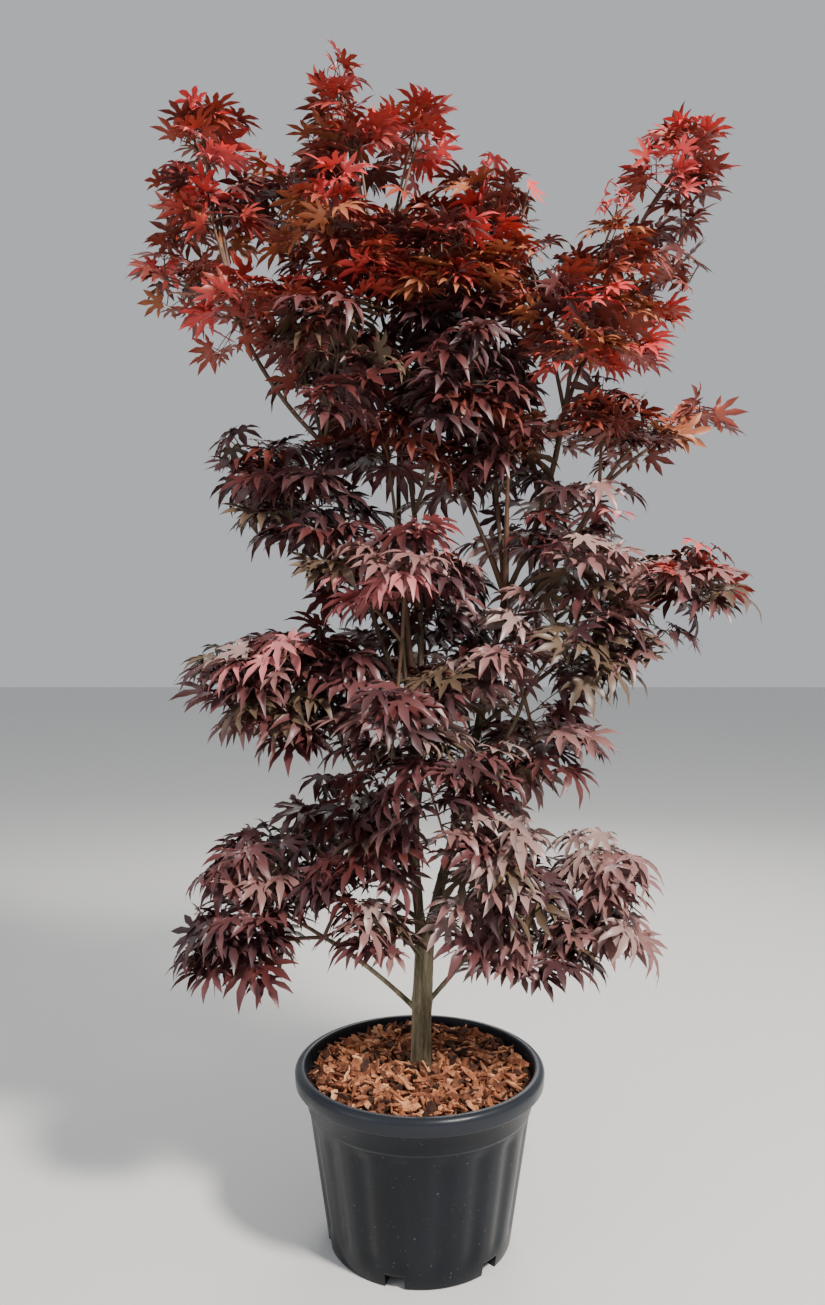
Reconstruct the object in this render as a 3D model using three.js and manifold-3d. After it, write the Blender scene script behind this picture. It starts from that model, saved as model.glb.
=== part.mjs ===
// A young Japanese maple with dark red leaves, growing in a round plastic nursery pot.
// Units are millimetres and +Z is up. The origin is the middle of the pot's flat underside,
// +X is the tree's right and -Y its front.
//
// The pot, the soil and the bark mulch are turned or laid shapes. The trunk and the boughs are
// tapering tubes, each cut to sit on the limb that carries it. Every mass of foliage grows by one
// seeded rule inside its own space: a stem goes on from a bough's tip, twigs leave the stem, and
// each twig ends in a leaf whose point reaches the edge of that space.

import * as THREE from 'three';
import { mergeVertices } from 'three/addons/utils/BufferGeometryUtils.js';
import Module from 'manifold-3d';

const wasm = await Module();
wasm.setup();

// Clearances between neighbours
const TOUCH_GAP = 0.3;
const SPACE_GAP = 4;
const LIMB_CLEARANCE = 9;
const SHORTEST_EDGE = 0.02;
const LOWEST_FACE = 0.004;
const SLIVER_ROUNDS = 4;
const PLACE_SPREAD = 0.6;
const LINE_START = 1000;
const OWN_CLEARANCE = 9;

// Pot
const POT_HEIGHT = 344;
const RIM_RADIUS = 250;
const RIM_WIDTH = 20;
const RIM_BAND = 22;
const SHOULDER_RADIUS = 228;
const SHOULDER_BOTTOM = 268;
const BODY_TOP_RADIUS = 221;
const FOOT_RADIUS = 182;
const WALL = 7;
const FLOOR = 32;
const FLUTES = 18;
const POT_SECTORS = 2 * FLUTES;
const FLUTE_DEPTH = 3;
const NOTCHES = 6;
const NOTCH_WIDTH = 37;
const NOTCH_HEIGHT = 24;
const NOTCH_DEPTH = 34;
const FIRST_NOTCH_ANGLE = THREE.MathUtils.degToRad(-105);

// Soil and mulch
const SOIL_TOP = 314;
const MULCH_EDGE = 326;
const MULCH_MIDDLE = 340;
const MULCH_RELIEF = 7;
const MULCH_RINGS = 4;
const MULCH_SECTORS = 18;
const MULCH_SEED = 7;

// Trunk, from its flat cut on the soil to the fork
const TRUNK_CUT = SOIL_TOP + TOUCH_GAP;
const TRUNK_FOOT = new THREE.Vector3(4, 0, TRUNK_CUT - 10);
const TRUNK_FORK = new THREE.Vector3(11, 0, 606);
const TRUNK_BOW = new THREE.Vector3(-3, 0, 0);
const TRUNK_RADIUS = 21.5;
const FORK_RADIUS = 19;
const FLARE_RADIUS = 33;
const FLARE_HEIGHT = 60;
const ROOT_RIDGES = 5;
const ROOT_RIDGE_HEIGHT = 2.5;
const TRUNK_SIDES = 10;
const TRUNK_STEPS = 7;

// Boughs
const BOUGH_SIDES = 6;
const BOUGH_STEP = 130;
const SIDE_BOUGH_RADII = [5, 4.4];
const ROOT_ASIDE = 0.8;

// Foliage. A leaf here is larger than life, so that few of them fill the crown.
const LEAF_LENGTH = 165;
const LEAF_SIZES = [1, 0.86, 0.74, 0.62, 0.52];
const LEAF_TURNS = [0, 50, -50].map(THREE.MathUtils.degToRad);
const LEAF_THICKNESS = 3.4;
const LEAF_DOME = 13;
const LEAF_OUTWARD = 0.75;
const CROWN_AREA_PER_LEAF = 2450;
const FEWEST_LEAVES = 5;
const LONG_TWIG = 140;
const STRAIGHT_TWIG = 0.7;
const STEM_SIDES = 5;
const STEM_STEPS = 3;
const STEM_END_RADIUS = 3.8;
const TWIG_SIDES = 3;
const TWIG_RADIUS = 2.4;
const TWIG_END_RADIUS = 1.9;
const TWIG_CURL = 0.35;
const FIRST_TWIG = 0.4;
const LAST_TWIG = 0.98;
const TWIG_SPACING = 0.09;
const CROWN_SEED = 307;
const TRIES_PER_LEAF = 16;
const STEM_PAST_MIDDLE = 0.4;
const STEM_BOW = 0.05;
const LEAF_ROLL = 1.2;
const EDGE_SHARE = 0.98;

// Each bough leaves its parent at a share of the parent's length and ends at its tip. The bow is
// how far its middle stands off the straight line. Most boughs have the side boughs' radii.
const BOUGHS = [
  { name: 'left_leader', parent: 'trunk', at: 1, tip: [-2, -10, 1000], bow: [-12, 0, 0], radii: [11.5, 8.5] },
  { name: 'right_leader', parent: 'trunk', at: 1, tip: [176, 20, 1289], bow: [6, 0, -6], radii: [12, 8] },
  { name: 'left_bough', parent: 'left_leader', at: 1, tip: [-188, -40, 1580], bow: [-12, 0, 0], radii: [6.5, 4.6] },
  { name: 'centre_bough', parent: 'left_leader', at: 1, tip: [-84, 0, 1877], bow: [34, 6, 0], radii: [7, 4.4] },
  { name: 'back_bough', parent: 'left_leader', at: 1, tip: [-30, 120, 1830], bow: [-26, 18, 0], radii: [6.5, 4.4] },
  { name: 'far_left_bough', parent: 'left_bough', at: 1, tip: [-371, 0, 1850], bow: [-14, 4, -12] },
  { name: 'rear_left_bough', parent: 'left_bough', at: 1, tip: [-266, 62, 1896], bow: [-8, 20, 0] },
  { name: 'front_left_bough', parent: 'left_bough', at: 1, tip: [-196, 4, 1850], bow: [6, 22, 0] },
  { name: 'left_side_bough', parent: 'left_bough', at: 0.56, tip: [-212, 12, 1440], bow: [-8, 4, -14] },
  { name: 'front_right_bough', parent: 'centre_bough', at: 0.52, tip: [26, -70, 1590], bow: [8, -12, 0] },
  { name: 'inner_right_bough', parent: 'right_leader', at: 1, tip: [140, 50, 1834], bow: [-2, 4, 0] },
  { name: 'right_bough', parent: 'right_leader', at: 1, tip: [293, 0, 1655], bow: [14, 0, -6], radii: [6.5, 4.6] },
  { name: 'right_side_bough', parent: 'right_leader', at: 1, tip: [362, -10, 1495], bow: [14, -6, -22] },
  { name: 'upper_right_bough', parent: 'right_bough', at: 1, tip: [456, 56, 2050], bow: [-6, 14, 0] },
  { name: 'rear_right_bough', parent: 'right_bough', at: 0.5, tip: [322, 40, 1815], bow: [6, 12, -10] },
  { name: 'long_right_bough', parent: 'right_leader', at: 0.62, tip: [406, -20, 1232], bow: [0, -6, 8] },
  { name: 'mid_right_bough', parent: 'right_leader', at: 0.46, tip: [206, -50, 1082], bow: [12, -10, -10] },
  { name: 'centre_front_bough', parent: 'left_leader', at: 0.8, tip: [-34, -104, 1190], bow: [0, -22, -14] },
  { name: 'centre_back_bough', parent: 'left_leader', at: 0.5, tip: [14, 110, 985], bow: [0, 18, -14] },
  { name: 'mid_left_bough', parent: 'left_leader', at: 0.42, tip: [-172, -20, 1030], bow: [-14, 0, -10] },
  { name: 'low_inner_bough', parent: 'left_leader', at: 0.1, tip: [-106, 30, 770], bow: [-16, 4, -8] },
  { name: 'lowest_left_bough', parent: 'trunk', at: 0.49, tip: [-196, -10, 596], bow: [-4, 0, 14], radii: [5.6, 4.4] },
  { name: 'lowest_right_bough', parent: 'trunk', at: 0.54, tip: [122, -14, 590], bow: [6, 0, 6], radii: [5.4, 4.4] },
];

// Each mass of foliage grows on from the tip of its bough, in an ellipsoid of its own, and its node
// is its name with _foliage after it. Where two
// ellipsoids meet, a plane between them is the border.
const MASSES = [
  { name: 'top_spire', bough: 'centre_bough', middle: [-150, -10, 2245], reach: [78, 100, 152] },
  { name: 'second_spire', bough: 'centre_bough', middle: [-14, 30, 2216], reach: [64, 84, 108] },
  { name: 'front_middle', bough: 'centre_bough', middle: [48, -100, 1926], reach: [115, 120, 115] },
  { name: 'upper_left', bough: 'far_left_bough', middle: [-441, -10, 2145], reach: [100, 105, 142] },
  { name: 'far_left', bough: 'far_left_bough', middle: [-490, 10, 1908], reach: [114, 110, 90] },
  { name: 'rear_left', bough: 'rear_left_bough', middle: [-273, 90, 2090], reach: [118, 120, 118] },
  { name: 'left_shoulder', bough: 'front_left_bough', middle: [-326, -70, 1810], reach: [108, 115, 98] },
  { name: 'front_left', bough: 'front_left_bough', middle: [-163, -100, 1965], reach: [118, 120, 122] },
  { name: 'lower_left', bough: 'left_bough', middle: [-165, -100, 1680], reach: [118, 118, 176] },
  { name: 'rear_lower_left', bough: 'back_bough', middle: [-168, 135, 1742], reach: [140, 125, 172] },
  { name: 'rear_middle', bough: 'back_bough', middle: [12, 140, 2005], reach: [160, 122, 134] },
  { name: 'upper_middle', bough: 'inner_right_bough', middle: [148, 20, 2070], reach: [84, 95, 98] },
  { name: 'rear_lower_right', bough: 'inner_right_bough', middle: [109, 140, 1732], reach: [134, 125, 186] },
  { name: 'lower_middle', bough: 'front_right_bough', middle: [72, -100, 1660], reach: [118, 118, 172] },
  { name: 'right_spire', bough: 'upper_right_bough', middle: [538, 10, 2169], reach: [104, 92, 88] },
  { name: 'right_wing', bough: 'upper_right_bough', middle: [568, 90, 2000], reach: [112, 98, 86] },
  { name: 'right_arm', bough: 'rear_right_bough', middle: [374, -40, 1988], reach: [108, 112, 120] },
  { name: 'rear_right', bough: 'rear_right_bough', middle: [420, 120, 1850], reach: [146, 120, 118] },
  { name: 'front_right', bough: 'right_bough', middle: [300, -85, 1762], reach: [116, 118, 104] },
  { name: 'right_side', bough: 'right_side_bough', middle: [456, -20, 1606], reach: [106, 108, 80] },
  { name: 'right_middle', bough: 'right_side_bough', middle: [276, 60, 1421], reach: [116, 115, 106] },
  { name: 'left_side', bough: 'left_side_bough', middle: [-311, 30, 1489], reach: [128, 120, 128] },
  { name: 'centre_front', bough: 'centre_front_bough', middle: [-29, -92, 1321], reach: [146, 130, 104] },
  { name: 'low_front', bough: 'centre_front_bough', middle: [-48, -120, 1029], reach: [130, 125, 144] },
  { name: 'centre_back', bough: 'centre_back_bough', middle: [12, 130, 1193], reach: [162, 125, 200] },
  { name: 'far_right', bough: 'long_right_bough', middle: [500, -10, 1291], reach: [130, 112, 80] },
  { name: 'right_centre', bough: 'mid_right_bough', middle: [284, -60, 1190], reach: [150, 130, 110] },
  { name: 'right_lower', bough: 'mid_right_bough', middle: [230, -20, 981], reach: [150, 138, 112] },
  { name: 'left_lower', bough: 'mid_left_bough', middle: [-329, -20, 1095], reach: [170, 142, 122] },
  { name: 'low_inner', bough: 'low_inner_bough', middle: [-154, 50, 819], reach: [116, 122, 102] },
  { name: 'lowest_left', bough: 'lowest_left_bough', middle: [-341, -10, 660], reach: [134, 142, 168] },
  { name: 'lowest_right', bough: 'lowest_right_bough', middle: [378, 20, 661], reach: [112, 132, 172] },
  { name: 'low_right', bough: 'lowest_right_bough', middle: [177, -50, 719], reach: [104, 122, 148] },
];

// Materials
const MATERIALS = {
  pot: new THREE.MeshStandardMaterial({ color: 0x24272c, roughness: 0.42, metalness: 0 }),
  soil: new THREE.MeshStandardMaterial({ color: 0x2b1d14, roughness: 0.95, metalness: 0 }),
  mulch: new THREE.MeshStandardMaterial({ color: 0x9a5634, roughness: 0.9, metalness: 0 }),
  bark: new THREE.MeshStandardMaterial({ color: 0x6b6048, roughness: 0.85, metalness: 0 }),
  leaf: new THREE.MeshStandardMaterial({ color: 0x6d2326, roughness: 0.6, metalness: 0 }),
};

const UP = new THREE.Vector3(0, 0, 1);
const FRONT = new THREE.Vector3(0, -1, 0);

// Random numbers between 0 and 1 that are the same on every run
function seeded(seed) {
  let state = seed >>> 0;
  return () => {
    state = (state + 0x6d2b79f5) >>> 0;
    let mixed = Math.imul(state ^ (state >>> 15), state | 1);
    mixed ^= mixed + Math.imul(mixed ^ (mixed >>> 7), mixed | 61);
    return ((mixed ^ (mixed >>> 14)) >>> 0) / 4294967296;
  };
}

// Meshes to solids and back

function meshFrom(points, faces) {
  const geometry = new THREE.BufferGeometry();
  const flat = points.flatMap((point) => point.toArray());
  geometry.setAttribute('position', new THREE.Float32BufferAttribute(flat, 3));
  geometry.setIndex(faces.flat());
  return geometry;
}

function toSolid(geometry) {
  const bare = geometry.clone();
  bare.deleteAttribute('normal');
  bare.deleteAttribute('uv');
  const merged = mergeVertices(bare, 1e-4);
  return new wasm.Manifold(new wasm.Mesh({
    numProp: 3,
    vertProperties: new Float32Array(merged.attributes.position.array),
    triVerts: new Uint32Array(merged.index.array),
  }));
}

// Groups of things that are joined in pairs: find gives the group of one, join makes two one group
function groups(count) {
  const owner = Array.from({ length: count }, (_, index) => index);
  const find = (index) => {
    let root = index;
    while (owner[root] !== root) {
      root = owner[root];
    }
    owner[index] = root;
    return root;
  };
  const join = (one, other) => {
    owner[find(one)] = find(other);
  };
  return { find, join };
}

// The faces of a cut solid, with the ends of every very short edge drawn together. Faces that
// collapse go, and so does a pair of faces that then lie back to back.
function tidyFaces(place, corners) {
  const { find, join } = groups(place.length);
  const faces = [];
  for (let index = 0; index < corners.length; index += 3) {
    faces.push([...corners.slice(index, index + 3)]);
  }
  for (const [a, b, c] of faces) {
    for (const [one, other] of [[a, b], [b, c], [c, a]]) {
      if (place[one].distanceTo(place[other]) < SHORTEST_EDGE) {
        join(one, other);
      }
    }
  }
  const kept = new Map();
  for (const face of faces) {
    const [a, b, c] = face.map(find);
    const key = [a, b, c].sort((one, other) => one - other).join(' ');
    if (a === b || b === c || c === a) {
      continue;
    }
    if (kept.has(key)) {
      kept.delete(key);
    } else {
      kept.set(key, [a, b, c]);
    }
  }
  return [...kept.values()];
}

function edgeKey(one, other) {
  return one < other ? `${one} ${other}` : `${other} ${one}`;
}

// A face that is nearly a straight line is turned with the neighbour on its longest edge
function turnSlivers(place, faces) {
  const neighbours = new Map();
  faces.forEach((face, index) => {
    face.forEach((corner, step) => {
      const key = edgeKey(corner, face[(step + 1) % 3]);
      neighbours.set(key, [...(neighbours.get(key) ?? []), index]);
    });
  });
  const turned = new Set();
  faces.forEach((face, index) => {
    if (turned.has(index)) {
      return;
    }
    const lengths = face.map((corner, step) => place[corner].distanceTo(place[face[(step + 1) % 3]]));
    const longest = lengths.indexOf(Math.max(...lengths));
    const [a, b, c] = [0, 1, 2].map((step) => face[(longest + step) % 3]);
    const height = new THREE.Line3(place[a], place[b])
      .closestPointToPoint(place[c], true, new THREE.Vector3()).distanceTo(place[c]);
    const pair = neighbours.get(edgeKey(a, b));
    const other = pair.find((candidate) => candidate !== index);
    if (height > LOWEST_FACE || pair.length !== 2 || turned.has(other)) {
      return;
    }
    const d = faces[other].find((corner) => corner !== a && corner !== b);
    if (d === c || neighbours.has(edgeKey(c, d))) {
      return;
    }
    face.splice(0, 3, c, a, d);
    faces[other].splice(0, 3, d, b, c);
    turned.add(index).add(other);
  });
  return turned.size;
}

// A few places on a triangle: its middle, and one nearer each corner
function placesOn(triangle) {
  const middle = triangle.getMidpoint(new THREE.Vector3());
  const nearer = [triangle.a, triangle.b, triangle.c].map((corner) => (
    middle.clone().lerp(corner, PLACE_SPREAD)));
  return [middle, ...nearer];
}

// What a line meets that runs in square through a place on a triangle: the depth of each face on
// it, in order, and whether the line goes in there
function facesOnLine(triangles, triangle, point) {
  const normal = triangle.getNormal(new THREE.Vector3());
  const ray = new THREE.Ray(point.clone().addScaledVector(normal, LINE_START), normal.clone().negate());
  const hit = new THREE.Vector3();
  const met = [];
  for (const other of triangles) {
    if (ray.intersectTriangle(other.a, other.b, other.c, false, hit) !== null) {
      const goesIn = other.getNormal(new THREE.Vector3()).dot(normal) > 0;
      met.push({ depth: hit.distanceTo(ray.origin), goesIn });
    }
  }
  return met.sort((one, other) => one.depth - other.depth);
}

// A mesh that crosses itself is turned inside out there, and some line comes out before it went in
function crossesItself(points, faces) {
  const triangles = faces.map((face) => new THREE.Triangle(...face.map((corner) => points[corner])));
  return triangles.some((triangle) => placesOn(triangle).some((point) => (
    facesOnLine(triangles, triangle, point).some(({ goesIn }, step) => goesIn !== (step % 2 === 0)))));
}

// The largest part of a cut solid whose faces join edge to edge, so that no loose scrap is left
function toGeometry(solid) {
  const { vertProperties, triVerts } = solid.getMesh();
  const place = [];
  for (let index = 0; index < vertProperties.length; index += 3) {
    place.push(new THREE.Vector3(...vertProperties.slice(index, index + 3)));
  }
  const faces = tidyFaces(place, triVerts);
  let changed = 1;
  for (let round = 0; round < SLIVER_ROUNDS && changed > 0; round += 1) {
    changed = turnSlivers(place, faces);
  }
  const { find, join } = groups(faces.length);
  const edges = new Map();
  faces.forEach(([a, b, c], index) => {
    for (const [one, other] of [[a, b], [b, c], [c, a]]) {
      const key = edgeKey(one, other);
      join(index, edges.get(key) ?? index);
      edges.set(key, index);
    }
  });
  const parts = new Map();
  faces.forEach((face, index) => {
    const root = find(index);
    parts.set(root, [...(parts.get(root) ?? []), face]);
  });
  const largest = [...parts.values()].sort((one, other) => other.length - one.length)[0];
  const bare = meshFrom(place, largest).toNonIndexed();
  return mergeVertices(bare, 1e-4);
}

// A closed body of revolution whose radius may change with the angle. The profile starts and ends
// on the axis, and each point is a radius, a height and an optional radius rule.
function turned(profile, sectors) {
  const points = [new THREE.Vector3(0, 0, profile[0].height)];
  for (const { radius, height, wave = () => 0 } of profile) {
    for (let sector = 0; sector < sectors; sector += 1) {
      const angle = (2 * Math.PI * sector) / sectors;
      const r = radius - wave(sector);
      points.push(new THREE.Vector3(r * Math.cos(angle), r * Math.sin(angle), height));
    }
  }
  const last = points.push(new THREE.Vector3(0, 0, profile.at(-1).height)) - 1;
  const at = (ring, sector) => 1 + ring * sectors + (sector % sectors);
  const faces = [];
  for (let sector = 0; sector < sectors; sector += 1) {
    faces.push([0, at(0, sector + 1), at(0, sector)]);
    for (let ring = 0; ring + 1 < profile.length; ring += 1) {
      faces.push([at(ring, sector), at(ring, sector + 1), at(ring + 1, sector)]);
      faces.push([at(ring, sector + 1), at(ring + 1, sector + 1), at(ring + 1, sector)]);
    }
    faces.push([last, at(profile.length - 1, sector), at(profile.length - 1, sector + 1)]);
  }
  return meshFrom(points, faces);
}

// The rings of a tube along a path. The frame is carried along, so the tube never twists.
function ringsAlong(path, radii, sides, { along: firstWay, across: firstAcross, ridge = () => 0 }) {
  const points = [];
  let across = firstAcross?.clone() ?? null;
  path.forEach((place, step) => {
    const before = path[Math.max(step - 1, 0)];
    const after = path[Math.min(step + 1, path.length - 1)];
    const chord = after.clone().sub(before).normalize();
    const along = step === 0 && firstWay ? firstWay : chord;
    if (across === null) {
      across = Math.abs(along.z) < 0.9 ? UP.clone() : FRONT.clone();
    }
    across.addScaledVector(along, -across.dot(along)).normalize();
    const other = along.clone().cross(across);
    for (let side = 0; side < sides; side += 1) {
      const angle = (2 * Math.PI * side) / sides;
      const radius = radii[step] + ridge(step, angle);
      points.push(place.clone()
        .addScaledVector(across, radius * Math.cos(angle))
        .addScaledVector(other, radius * Math.sin(angle)));
    }
  });
  return points;
}

// The faces of the tube's wall and of its far end. Its near end stays open.
function wallFaces(rings, sides) {
  const faces = [];
  const at = (ring, side) => ring * sides + (side % sides);
  for (let ring = 0; ring + 1 < rings; ring += 1) {
    for (let side = 0; side < sides; side += 1) {
      faces.push([at(ring, side), at(ring, side + 1), at(ring + 1, side)]);
      faces.push([at(ring, side + 1), at(ring + 1, side + 1), at(ring + 1, side)]);
    }
  }
  for (let side = 1; side + 1 < sides; side += 1) {
    faces.push([at(rings - 1, 0), at(rings - 1, side), at(rings - 1, side + 1)]);
  }
  return faces;
}

// A closed tube along a path
function tube(path, radii, sides, ridge) {
  const faces = wallFaces(path.length, sides);
  for (let side = 1; side + 1 < sides; side += 1) {
    faces.push([0, side + 1, side]);
  }
  return meshFrom(ringsAlong(path, radii, sides, { ridge }), faces);
}

// Limbs

// A curve from start to tip whose middle stands off the straight line by the bow
function bowed(start, tip, bow) {
  const control = start.clone().add(tip).multiplyScalar(0.5).addScaledVector(bow, 2);
  return new THREE.QuadraticBezierCurve3(start, control, tip);
}

function limb(name, curve, radii, sides, steps) {
  const path = curve.getPoints(steps);
  const taper = path.map((_, step) => THREE.MathUtils.lerp(radii[0], radii[1], step / steps));
  return { name, curve, radii, path, taper, sides };
}

function radiusAt({ radii }, share) {
  return THREE.MathUtils.lerp(radii[0], radii[1], share);
}

// Where a child starts: inside its parent, on the side that it leaves from
function rootOn(parent, share, tip, radius) {
  const axis = parent.curve.getTangent(share);
  const root = parent.curve.getPoint(share).addScaledVector(axis, -radius);
  const aside = tip.clone().sub(root).normalize();
  aside.addScaledVector(axis, -aside.dot(axis)).normalize();
  return root.addScaledVector(aside, Math.max(0, ROOT_ASIDE * (radiusAt(parent, share) - radius)));
}

// The room that a limb takes up, with the touching gap round it and past its ends
function roomOf({ path, taper, sides, ridge }) {
  const gap = TOUCH_GAP / Math.cos(Math.PI / sides) + 0.02;
  const longer = path.map((point) => point.clone());
  const [first, second] = longer;
  const [nextToLast, last] = longer.slice(-2);
  first.addScaledVector(second.clone().sub(first).normalize(), -gap);
  last.addScaledVector(last.clone().sub(nextToLast).normalize(), gap);
  return toSolid(tube(longer, taper.map((radius) => radius + gap), sides, ridge));
}

function trunkLimb() {
  const curve = bowed(TRUNK_FOOT, TRUNK_FORK, TRUNK_BOW);
  const trunk = limb('trunk', curve, [TRUNK_RADIUS, FORK_RADIUS], TRUNK_SIDES, TRUNK_STEPS);
  trunk.path.forEach((point, step) => {
    const share = (step / TRUNK_STEPS) ** 1.5;
    curve.getPoint(share, point);
    const flare = Math.max(0, 1 - (point.z - TRUNK_FOOT.z) / FLARE_HEIGHT) ** 2;
    trunk.taper[step] = radiusAt(trunk, share) + flare * (FLARE_RADIUS - TRUNK_RADIUS);
    trunk.flare = [...(trunk.flare ?? []), flare];
  });
  trunk.ridge = (step, angle) => ROOT_RIDGE_HEIGHT * trunk.flare[step] * Math.cos(ROOT_RIDGES * angle);
  return trunk;
}

function growLimbs() {
  const limbs = new Map([['trunk', trunkLimb()]]);
  for (const { name, parent, at, tip, bow, radii = SIDE_BOUGH_RADII } of BOUGHS) {
    const end = new THREE.Vector3(...tip);
    const root = rootOn(limbs.get(parent), at, end, radii[0]);
    const curve = bowed(root, end, new THREE.Vector3(...bow));
    const steps = Math.max(2, Math.round(curve.getLength() / BOUGH_STEP));
    limbs.set(name, { ...limb(name, curve, radii, BOUGH_SIDES, steps), parent });
  }
  return limbs;
}

// What lies below the flat cut under the trunk
function groundBlock() {
  const size = 4 * FLARE_RADIUS;
  const block = new THREE.BoxGeometry(size, size, size);
  block.translate(0, 0, TRUNK_CUT - size / 2);
  return toSolid(block);
}

// Each limb, cut clear of its parent and of the brothers made before it
function limbSolids(limbs) {
  const rooms = new Map([...limbs].map(([name, one]) => [name, roomOf(one)]));
  const solids = new Map();
  for (const [name, one] of limbs) {
    let solid = toSolid(tube(one.path, one.taper, one.sides, one.ridge));
    if (name === 'trunk') {
      solid = solid.subtract(groundBlock());
    }
    for (const other of solids.keys()) {
      if (other === one.parent || limbs.get(other).parent === one.parent) {
        solid = solid.subtract(rooms.get(other));
      }
    }
    solids.set(name, solid);
  }
  return { solids, rooms };
}

// Pot, soil and mulch

function innerRadius(height) {
  const rise = (height - FLOOR) / (SHOULDER_BOTTOM - FLOOR);
  return THREE.MathUtils.lerp(FOOT_RADIUS - WALL, BODY_TOP_RADIUS - WALL, rise);
}

function notchCutter(index) {
  const cutter = new THREE.BoxGeometry(2 * NOTCH_DEPTH, NOTCH_WIDTH, 2 * NOTCH_HEIGHT);
  cutter.translate(FOOT_RADIUS, 0, 0);
  cutter.rotateZ(FIRST_NOTCH_ANGLE + (2 * Math.PI * index) / NOTCHES);
  return toSolid(cutter);
}

function potSolid() {
  const groove = (sector) => (sector % 2 === 0 ? FLUTE_DEPTH : 0);
  const lip = 5;
  const rimInner = RIM_RADIUS - RIM_WIDTH;
  const rimBottom = POT_HEIGHT - RIM_BAND;
  const profile = [
    { radius: FOOT_RADIUS, height: 0 },
    { radius: FOOT_RADIUS + 4, height: NOTCH_HEIGHT + 4, wave: groove },
    { radius: BODY_TOP_RADIUS, height: SHOULDER_BOTTOM - 6, wave: groove },
    { radius: BODY_TOP_RADIUS + 3.5, height: SHOULDER_BOTTOM },
    { radius: SHOULDER_RADIUS, height: rimBottom - 1 },
    { radius: RIM_RADIUS - 3, height: rimBottom },
    { radius: RIM_RADIUS, height: POT_HEIGHT - lip },
    { radius: RIM_RADIUS - lip, height: POT_HEIGHT },
    { radius: rimInner + lip, height: POT_HEIGHT },
    { radius: rimInner, height: POT_HEIGHT - lip },
    { radius: innerRadius(SOIL_TOP), height: SOIL_TOP },
    { radius: innerRadius(FLOOR), height: FLOOR },
  ];
  let solid = toSolid(turned(profile, POT_SECTORS));
  for (let index = 0; index < NOTCHES; index += 1) {
    solid = solid.subtract(notchCutter(index));
  }
  return solid;
}

function soilGeometry() {
  const clear = 1.5 * TOUCH_GAP;
  return turned([
    { radius: innerRadius(FLOOR) - clear, height: FLOOR + TOUCH_GAP },
    { radius: innerRadius(SOIL_TOP) - clear, height: SOIL_TOP },
  ], POT_SECTORS);
}

// A round layer with a lumpy top, lowest at the wall of the pot
function mulchSolid(trunkRoom) {
  const random = seeded(MULCH_SEED);
  const edge = innerRadius(SOIL_TOP) * Math.cos(Math.PI / POT_SECTORS) - 2 * TOUCH_GAP;
  const profile = [{ radius: edge, height: SOIL_TOP + TOUCH_GAP }];
  for (let ring = 0; ring < MULCH_RINGS; ring += 1) {
    const share = ring / MULCH_RINGS;
    profile.push({
      radius: edge * (1 - share),
      height: THREE.MathUtils.lerp(MULCH_EDGE, MULCH_MIDDLE, share),
    });
  }
  const geometry = turned(profile, MULCH_SECTORS);
  const place = geometry.attributes.position;
  for (let index = 1 + MULCH_SECTORS; index < place.count; index += 1) {
    place.setZ(index, place.getZ(index) + MULCH_RELIEF * (random() - 0.5));
  }
  return toSolid(geometry).subtract(trunkRoom);
}

// Foliage

// The space of a mass: its ellipsoid, and a plane towards each mass that it meets
function spaceOf(mass) {
  const middle = new THREE.Vector3(...mass.middle);
  const reach = new THREE.Vector3(...mass.reach);
  const planes = [];
  for (const other of MASSES) {
    const away = new THREE.Vector3(...other.middle).sub(middle);
    const distance = away.length();
    if (other === mass) {
      continue;
    }
    away.normalize();
    const mine = away.clone().multiply(reach).length();
    const theirs = away.clone().multiply(new THREE.Vector3(...other.reach)).length();
    if (distance < mine + theirs + SPACE_GAP) {
      planes.push({ away, limit: (distance * mine) / (mine + theirs) - SPACE_GAP / 2 });
    }
  }
  return { middle, reach, planes };
}

function holds(space, point) {
  const offset = point.clone().sub(space.middle);
  const inside = offset.clone().divide(space.reach).lengthSq() <= 1;
  return inside && space.planes.every(({ away, limit }) => offset.dot(away) < limit);
}

// The point where a ray from the middle leaves the space
function edgeOf(space, direction) {
  const ray = direction.clone().multiply(space.reach);
  const shares = space.planes.map(({ away, limit }) => {
    const towards = ray.dot(away);
    return towards > limit ? limit / towards : 1;
  });
  return ray.multiplyScalar(EDGE_SHARE * Math.min(1, ...shares)).add(space.middle);
}

// A leaf of five pointed lobes round its middle, with a tail that runs into the twig
const LEAF_MIDDLE = 0.36;
const LOBES = [
  { turn: 0, length: 0.64 },
  { turn: 24, length: 0.2 },
  { turn: 48, length: 0.57 },
  { turn: 74, length: 0.17 },
  { turn: 99, length: 0.43 },
];

function leafOutline() {
  const half = LOBES.map(({ turn, length }) => {
    const angle = THREE.MathUtils.degToRad(turn);
    return [LEAF_MIDDLE + length * Math.cos(angle), length * Math.sin(angle)];
  });
  const mirrored = half.slice(1).reverse().map(([along, across]) => [along, -across]);
  return [[0, 0], ...mirrored, ...half];
}

const LEAF_OUTLINE = leafOutline();

// The corners of a leaf whose tail is at root. Its middle is raised, so that the lobes droop.
function leafCorners({ root, along, normal, length }) {
  const across = normal.clone().cross(along);
  const place = (forward, sideways, raised) => root.clone()
    .addScaledVector(along, forward * length)
    .addScaledVector(across, sideways * length)
    .addScaledVector(normal, raised);
  const outline = LEAF_OUTLINE.map(([forward, sideways]) => place(forward, sideways, 0));
  const dome = (LEAF_DOME * length) / LEAF_LENGTH;
  const top = place(LEAF_MIDDLE, 0, dome + LEAF_THICKNESS / 2);
  const underside = place(LEAF_MIDDLE, 0, dome - LEAF_THICKNESS / 2);
  return { outline, top, underside };
}

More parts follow.
